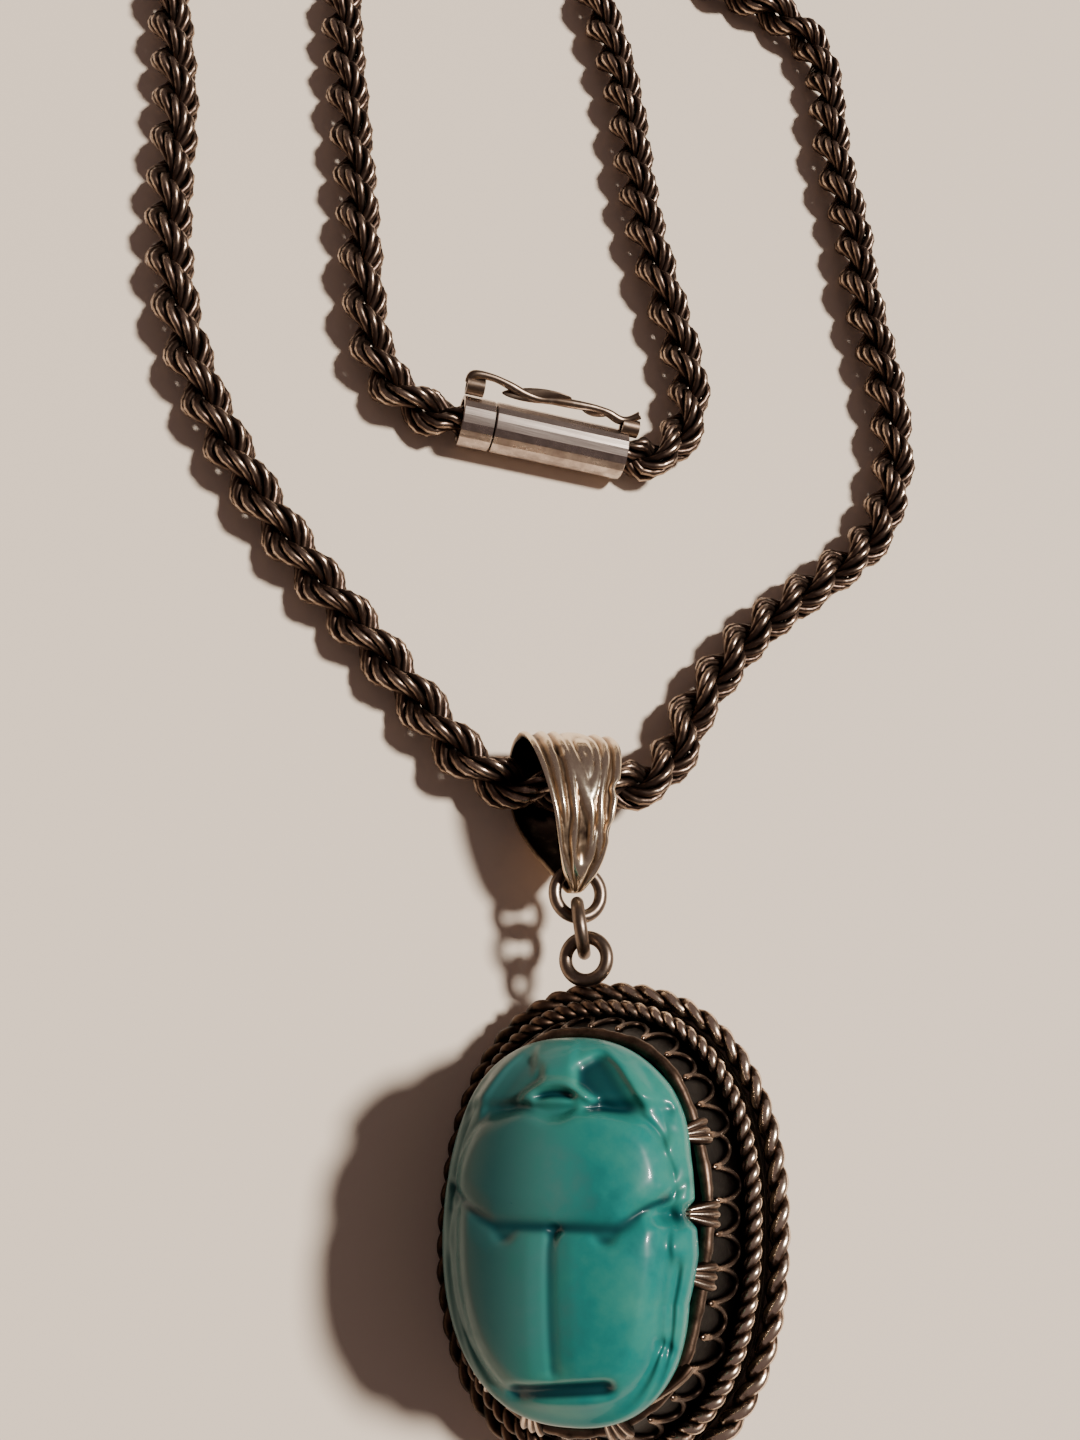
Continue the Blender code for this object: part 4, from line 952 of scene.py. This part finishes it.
def make_bail():
    """A flat grid bent along the strip's profile, embossed outwards, then given its thickness."""
    item = primitive("grid", x_subdivisions=56, y_subdivisions=260, size=2.0)
    flat = np.array([v.co[:] for v in item.data.vertices])
    line = [Vector((w * MM, ring_reach + y * MM, z * ring_height)) for y, z, w in BAIL_PROFILE]
    widths, ys, zs = np.array([p[:] for p in smooth_line(line, LINE_STEPS)]).T
    gone = np.concatenate([[0.0], np.cumsum(np.hypot(np.diff(ys), np.diff(zs)))])
    share = (flat[:, 1] + 1.0) / 2.0 * gone[-1]
    wide = np.interp(share, gone, widths) / 2.0
    y = np.interp(share, gone, ys)
    z = np.interp(share, gone, zs)
    ahead = share + TANGENT_STEP
    behind = share - TANGENT_STEP
    dy = np.interp(ahead, gone, ys) - np.interp(behind, gone, ys)
    dz = np.interp(ahead, gone, zs) - np.interp(behind, gone, zs)
    size = np.hypot(dy, dz)
    across = flat[:, 0]
    along = 1.0 - share / gone[LINE_STEPS * BAIL_FOLD_ROW]
    raised = np.zeros(len(across))
    for ridge in BAIL_RIDGES:
        raised = np.maximum(raised, soft_bump(bent_distance(across, along, ridge), 0.16) ** 0.8)
    front = soft_step(along, -0.16, -0.05) * (1.0 - soft_step(along, 0.97, 1.0))
    raised = raised * front
    pits = oval_bump(across + 0.45, along - 0.20, 0.16, 0.05)
    pits = pits + 1.3 * oval_bump(across - 0.05, along - 0.77, 0.45, 0.06)
    crown = -BAIL_CROWN * (wide / BAIL_HALF_WIDTH) * across ** 2
    relief = (raised * BAIL_RIDGE - pits * front * BAIL_PIT) * np.minimum(1.0, wide / RELIEF_HALF_WIDTH)
    lift = BAIL_SHEET * 0.2 + crown + relief
    notch = 0.12 * soft_bump(along - 0.42, 0.06) + 0.12 * soft_bump(along - 0.64, 0.06)
    trimmed = across * wide * (1.0 - notch * soft_step(across, 0.5, 1.0))
    spots = np.column_stack([trimmed, y - dz / size * lift, z + dy / size * lift])
    item.data.vertices.foreach_set("co", spots.ravel())
    rubbed = np.where(front > 0.01, 0.14 + raised * 0.9 - pits * 0.2, 0.5)
    face_outwards()
    modify("SOLIDIFY", thickness=BAIL_SHEET * 0.8, offset=-1.0)
    # painted shade: the inside of the fold is coloured black, where the front leaf shades it
    values = np.zeros(len(item.data.vertices))
    values[:len(flat)] = np.clip(rubbed * front + 0.42 * (1.0 - front), 0.0, 1.0)
    mark(item, "rubbed", values)
    shade_crisp(item, 50.0)
    return settle(item, HANGER_PLACE @ Matrix.Translation((0.0, ring_reach, 0.0))
                  @ Matrix.Rotation(BAIL_TURN, 4, "Z") @ Matrix.Translation((0.0, -ring_reach, 0.0)))


hand_over(make_bail(), "embossed_bail", bail_silver, "silver_bail", "bail")

# Barrel clasp: a turned cap and a long barrel of worn silver, filed in narrow flats along their
# length, with a hinged safety catch of bent wire held by two small tubes.
clasp_silver = silver("clasp_silver", (0.060, 0.042, 0.034), (0.33, 0.26, 0.225), (0.80, 0.68, 0.58),
                      grain=1800.0, uneven=0.7, stretch=(0.06, 1.0, 1.0), bump=0.35, rubbed=0.70)
catch_silver = silver("catch_silver", (0.025, 0.016, 0.011), (0.20, 0.14, 0.10), (0.72, 0.58, 0.46),
                      grain=2600.0, uneven=0.9, rubbed=0.5)
CLASP_ACROSS = 4.3 * MM
CLASP_CAP = 2.8 * MM
CLASP_FLATS = 20
CLASP_RIM = 0.35 * MM
CLASP_SUNK = 0.5 * MM
CLASP_EDGE = 0.09 * MM
CLASP_PLACE = Matrix.Translation(CLASP_CENTRE) @ Matrix.Rotation(CLASP_TURN, 4, "Z")
CATCH_WIRE = 0.7 * MM
LUG = 1.5 * MM
LUG_WALL = 0.30 * MM
LUG_TURN = math.radians(48.0)
# along the clasp and out from its axis, in millimetres
CATCH_ROUTE = ((-7.2, 3.2), (-6.9, 3.95), (-5.4, 4.05), (-3.95, 3.77), (-2.4, 3.3), (-1.0, 3.15),
               (0.4, 3.3), (2.25, 3.4), (3.9, 3.45), (5.1, 3.3), (6.2, 2.95), (7.0, 3.1), (7.9, 3.7))
# where the wire is hammered to a blade: both ends, half the width in millimetres, the turn in degrees
CATCH_BLADES = (((-4.3, 3.0), (1.7, 3.8), 0.62, 35.0), ((2.6, 3.3), (5.3, 3.15), 0.50, 55.0))
BLADE_HALF_THICKNESS = 0.20 * MM


def barrel(start, end):
    """A cylinder along X whose ends are sunk behind a thin rim, with softened edges."""
    item = primitive("cylinder", vertices=CLASP_FLATS, radius=CLASP_ACROSS / 2.0, depth=end - start,
                     location=((start + end) / 2.0, 0.0, 0.0), rotation=(0.0, math.pi / 2.0, 0.0))
    bpy.ops.object.transform_apply(location=True, rotation=True, scale=True)
    bpy.ops.object.mode_set(mode="EDIT")
    bpy.ops.mesh.select_mode(type="FACE")
    for wall in (-1.0, 1.0):
        bpy.ops.mesh.select_all(action="DESELECT")
        shape = bmesh.from_edit_mesh(item.data)
        for face in shape.faces:
            face.select = face.normal.x * wall > 0.9
        bmesh.update_edit_mesh(item.data)
        bpy.ops.mesh.inset(thickness=CLASP_RIM)
        bpy.ops.mesh.extrude_region_move(TRANSFORM_OT_translate={"value": (-wall * CLASP_SUNK, 0.0, 0.0)})
    bpy.ops.mesh.select_mode(type="VERT")
    bpy.ops.object.mode_set(mode="OBJECT")
    modify("BEVEL", width=CLASP_EDGE, segments=2, angle_limit=math.radians(40.0))
    shade_crisp(item, 14.0)
    return settle(item, CLASP_PLACE)


def beside_clasp(along, out):
    """A place on the catch's side of the clasp, from millimetres along it and out from its axis."""
    return Vector((along, out * math.cos(LUG_TURN), out * math.sin(LUG_TURN))) * MM


half = CLASP_LENGTH / 2.0
seam = -half + CLASP_CAP
cap = hand_over(barrel(-half, seam - JOINT_GAP), "filed_cap", clasp_silver, "silver_worn", "clasp_cap")
tube = hand_over(barrel(seam + JOINT_GAP, half), "filed_barrel", clasp_silver, "silver_worn",
                 "clasp_barrel")
for name, along, out, node in (("catch_tube_left", -6.6, 3.0, "catch_lug_left"),
                               ("catch_tube_right", 7.3, 2.45, "catch_lug_right")):
    lug = primitive("cylinder", vertices=28, radius=LUG / 2.0, depth=LUG, end_fill_type="NOTHING",
                    location=beside_clasp(along, out), rotation=(0.0, math.pi / 2.0, 0.0))
    modify("SOLIDIFY", thickness=LUG_WALL)
    shade_crisp(lug, 40.0)
    hand_over(settle(lug, CLASP_PLACE), name, catch_silver, "silver_worn", node)
catch_line = smooth_line([beside_clasp(along, out) for along, out in CATCH_ROUTE], 6)
radii = [1.0 + 0.12 * math.sin(k * 0.35) for k in range(len(catch_line))]
catch_parts = [wire_along(catch_line, CATCH_WIRE, sides=10, closed=False, radii=radii)]
for start, end, wide, lean in CATCH_BLADES:
    blade = primitive("uv_sphere", segments=28, ring_count=16, radius=1.0)
    first = beside_clasp(*start)
    last = beside_clasp(*end)
    half_long = (last - first).length / 2.0
    for v in blade.data.vertices:
        twist = 0.7 * v.co.x
        a = v.co.y * wide * MM
        b = v.co.z * BLADE_HALF_THICKNESS
        v.co = (v.co.x * half_long, a * math.cos(twist) - b * math.sin(twist),
                a * math.sin(twist) + b * math.cos(twist))
    bpy.ops.object.shade_smooth()
    blade.matrix_world = (Matrix.Translation((first + last) / 2.0)
                          @ (last - first).to_track_quat("X", "Z").to_matrix().to_4x4()
                          @ Matrix.Rotation(math.radians(lean), 4, "X"))
    bpy.ops.object.transform_apply(location=True, rotation=True, scale=True)
    catch_parts.append(blade)
catch = hand_over(settle(join(catch_parts), CLASP_PLACE), "bent_wire_catch", catch_silver, "silver_worn",
                  "safety_catch")

# Floor and light: a plain pale surface, one soft key from the right, a dim warm room around.
floor = primitive("plane", size=2.0)
floor.name = "floor"
floor_look, _, floor_shader = new_look("pale_floor")
floor_shader.inputs["Base Color"].default_value = (0.90, 0.745, 0.592, 1.0)
floor_shader.inputs["Roughness"].default_value = 0.7
floor.data.materials.append(floor_look)

key_data = bpy.data.lights.new("key", "SUN")
key_data.energy = 5.2
key_data.angle = math.radians(9.0)
key_data.color = (1.0, 0.965, 0.92)
key = new_object("key", key_data)
key_from = Vector((0.46, 0.17, 0.87)).normalized()
key.rotation_euler = key_from.to_track_quat("Z", "Y").to_euler()
world = bpy.data.worlds.new("room")
world.use_nodes = True
world.node_tree.nodes["Background"].inputs["Color"].default_value = (1.0, 0.76, 0.75, 1.0)
world.node_tree.nodes["Background"].inputs["Strength"].default_value = 0.135
bpy.context.scene.world = world
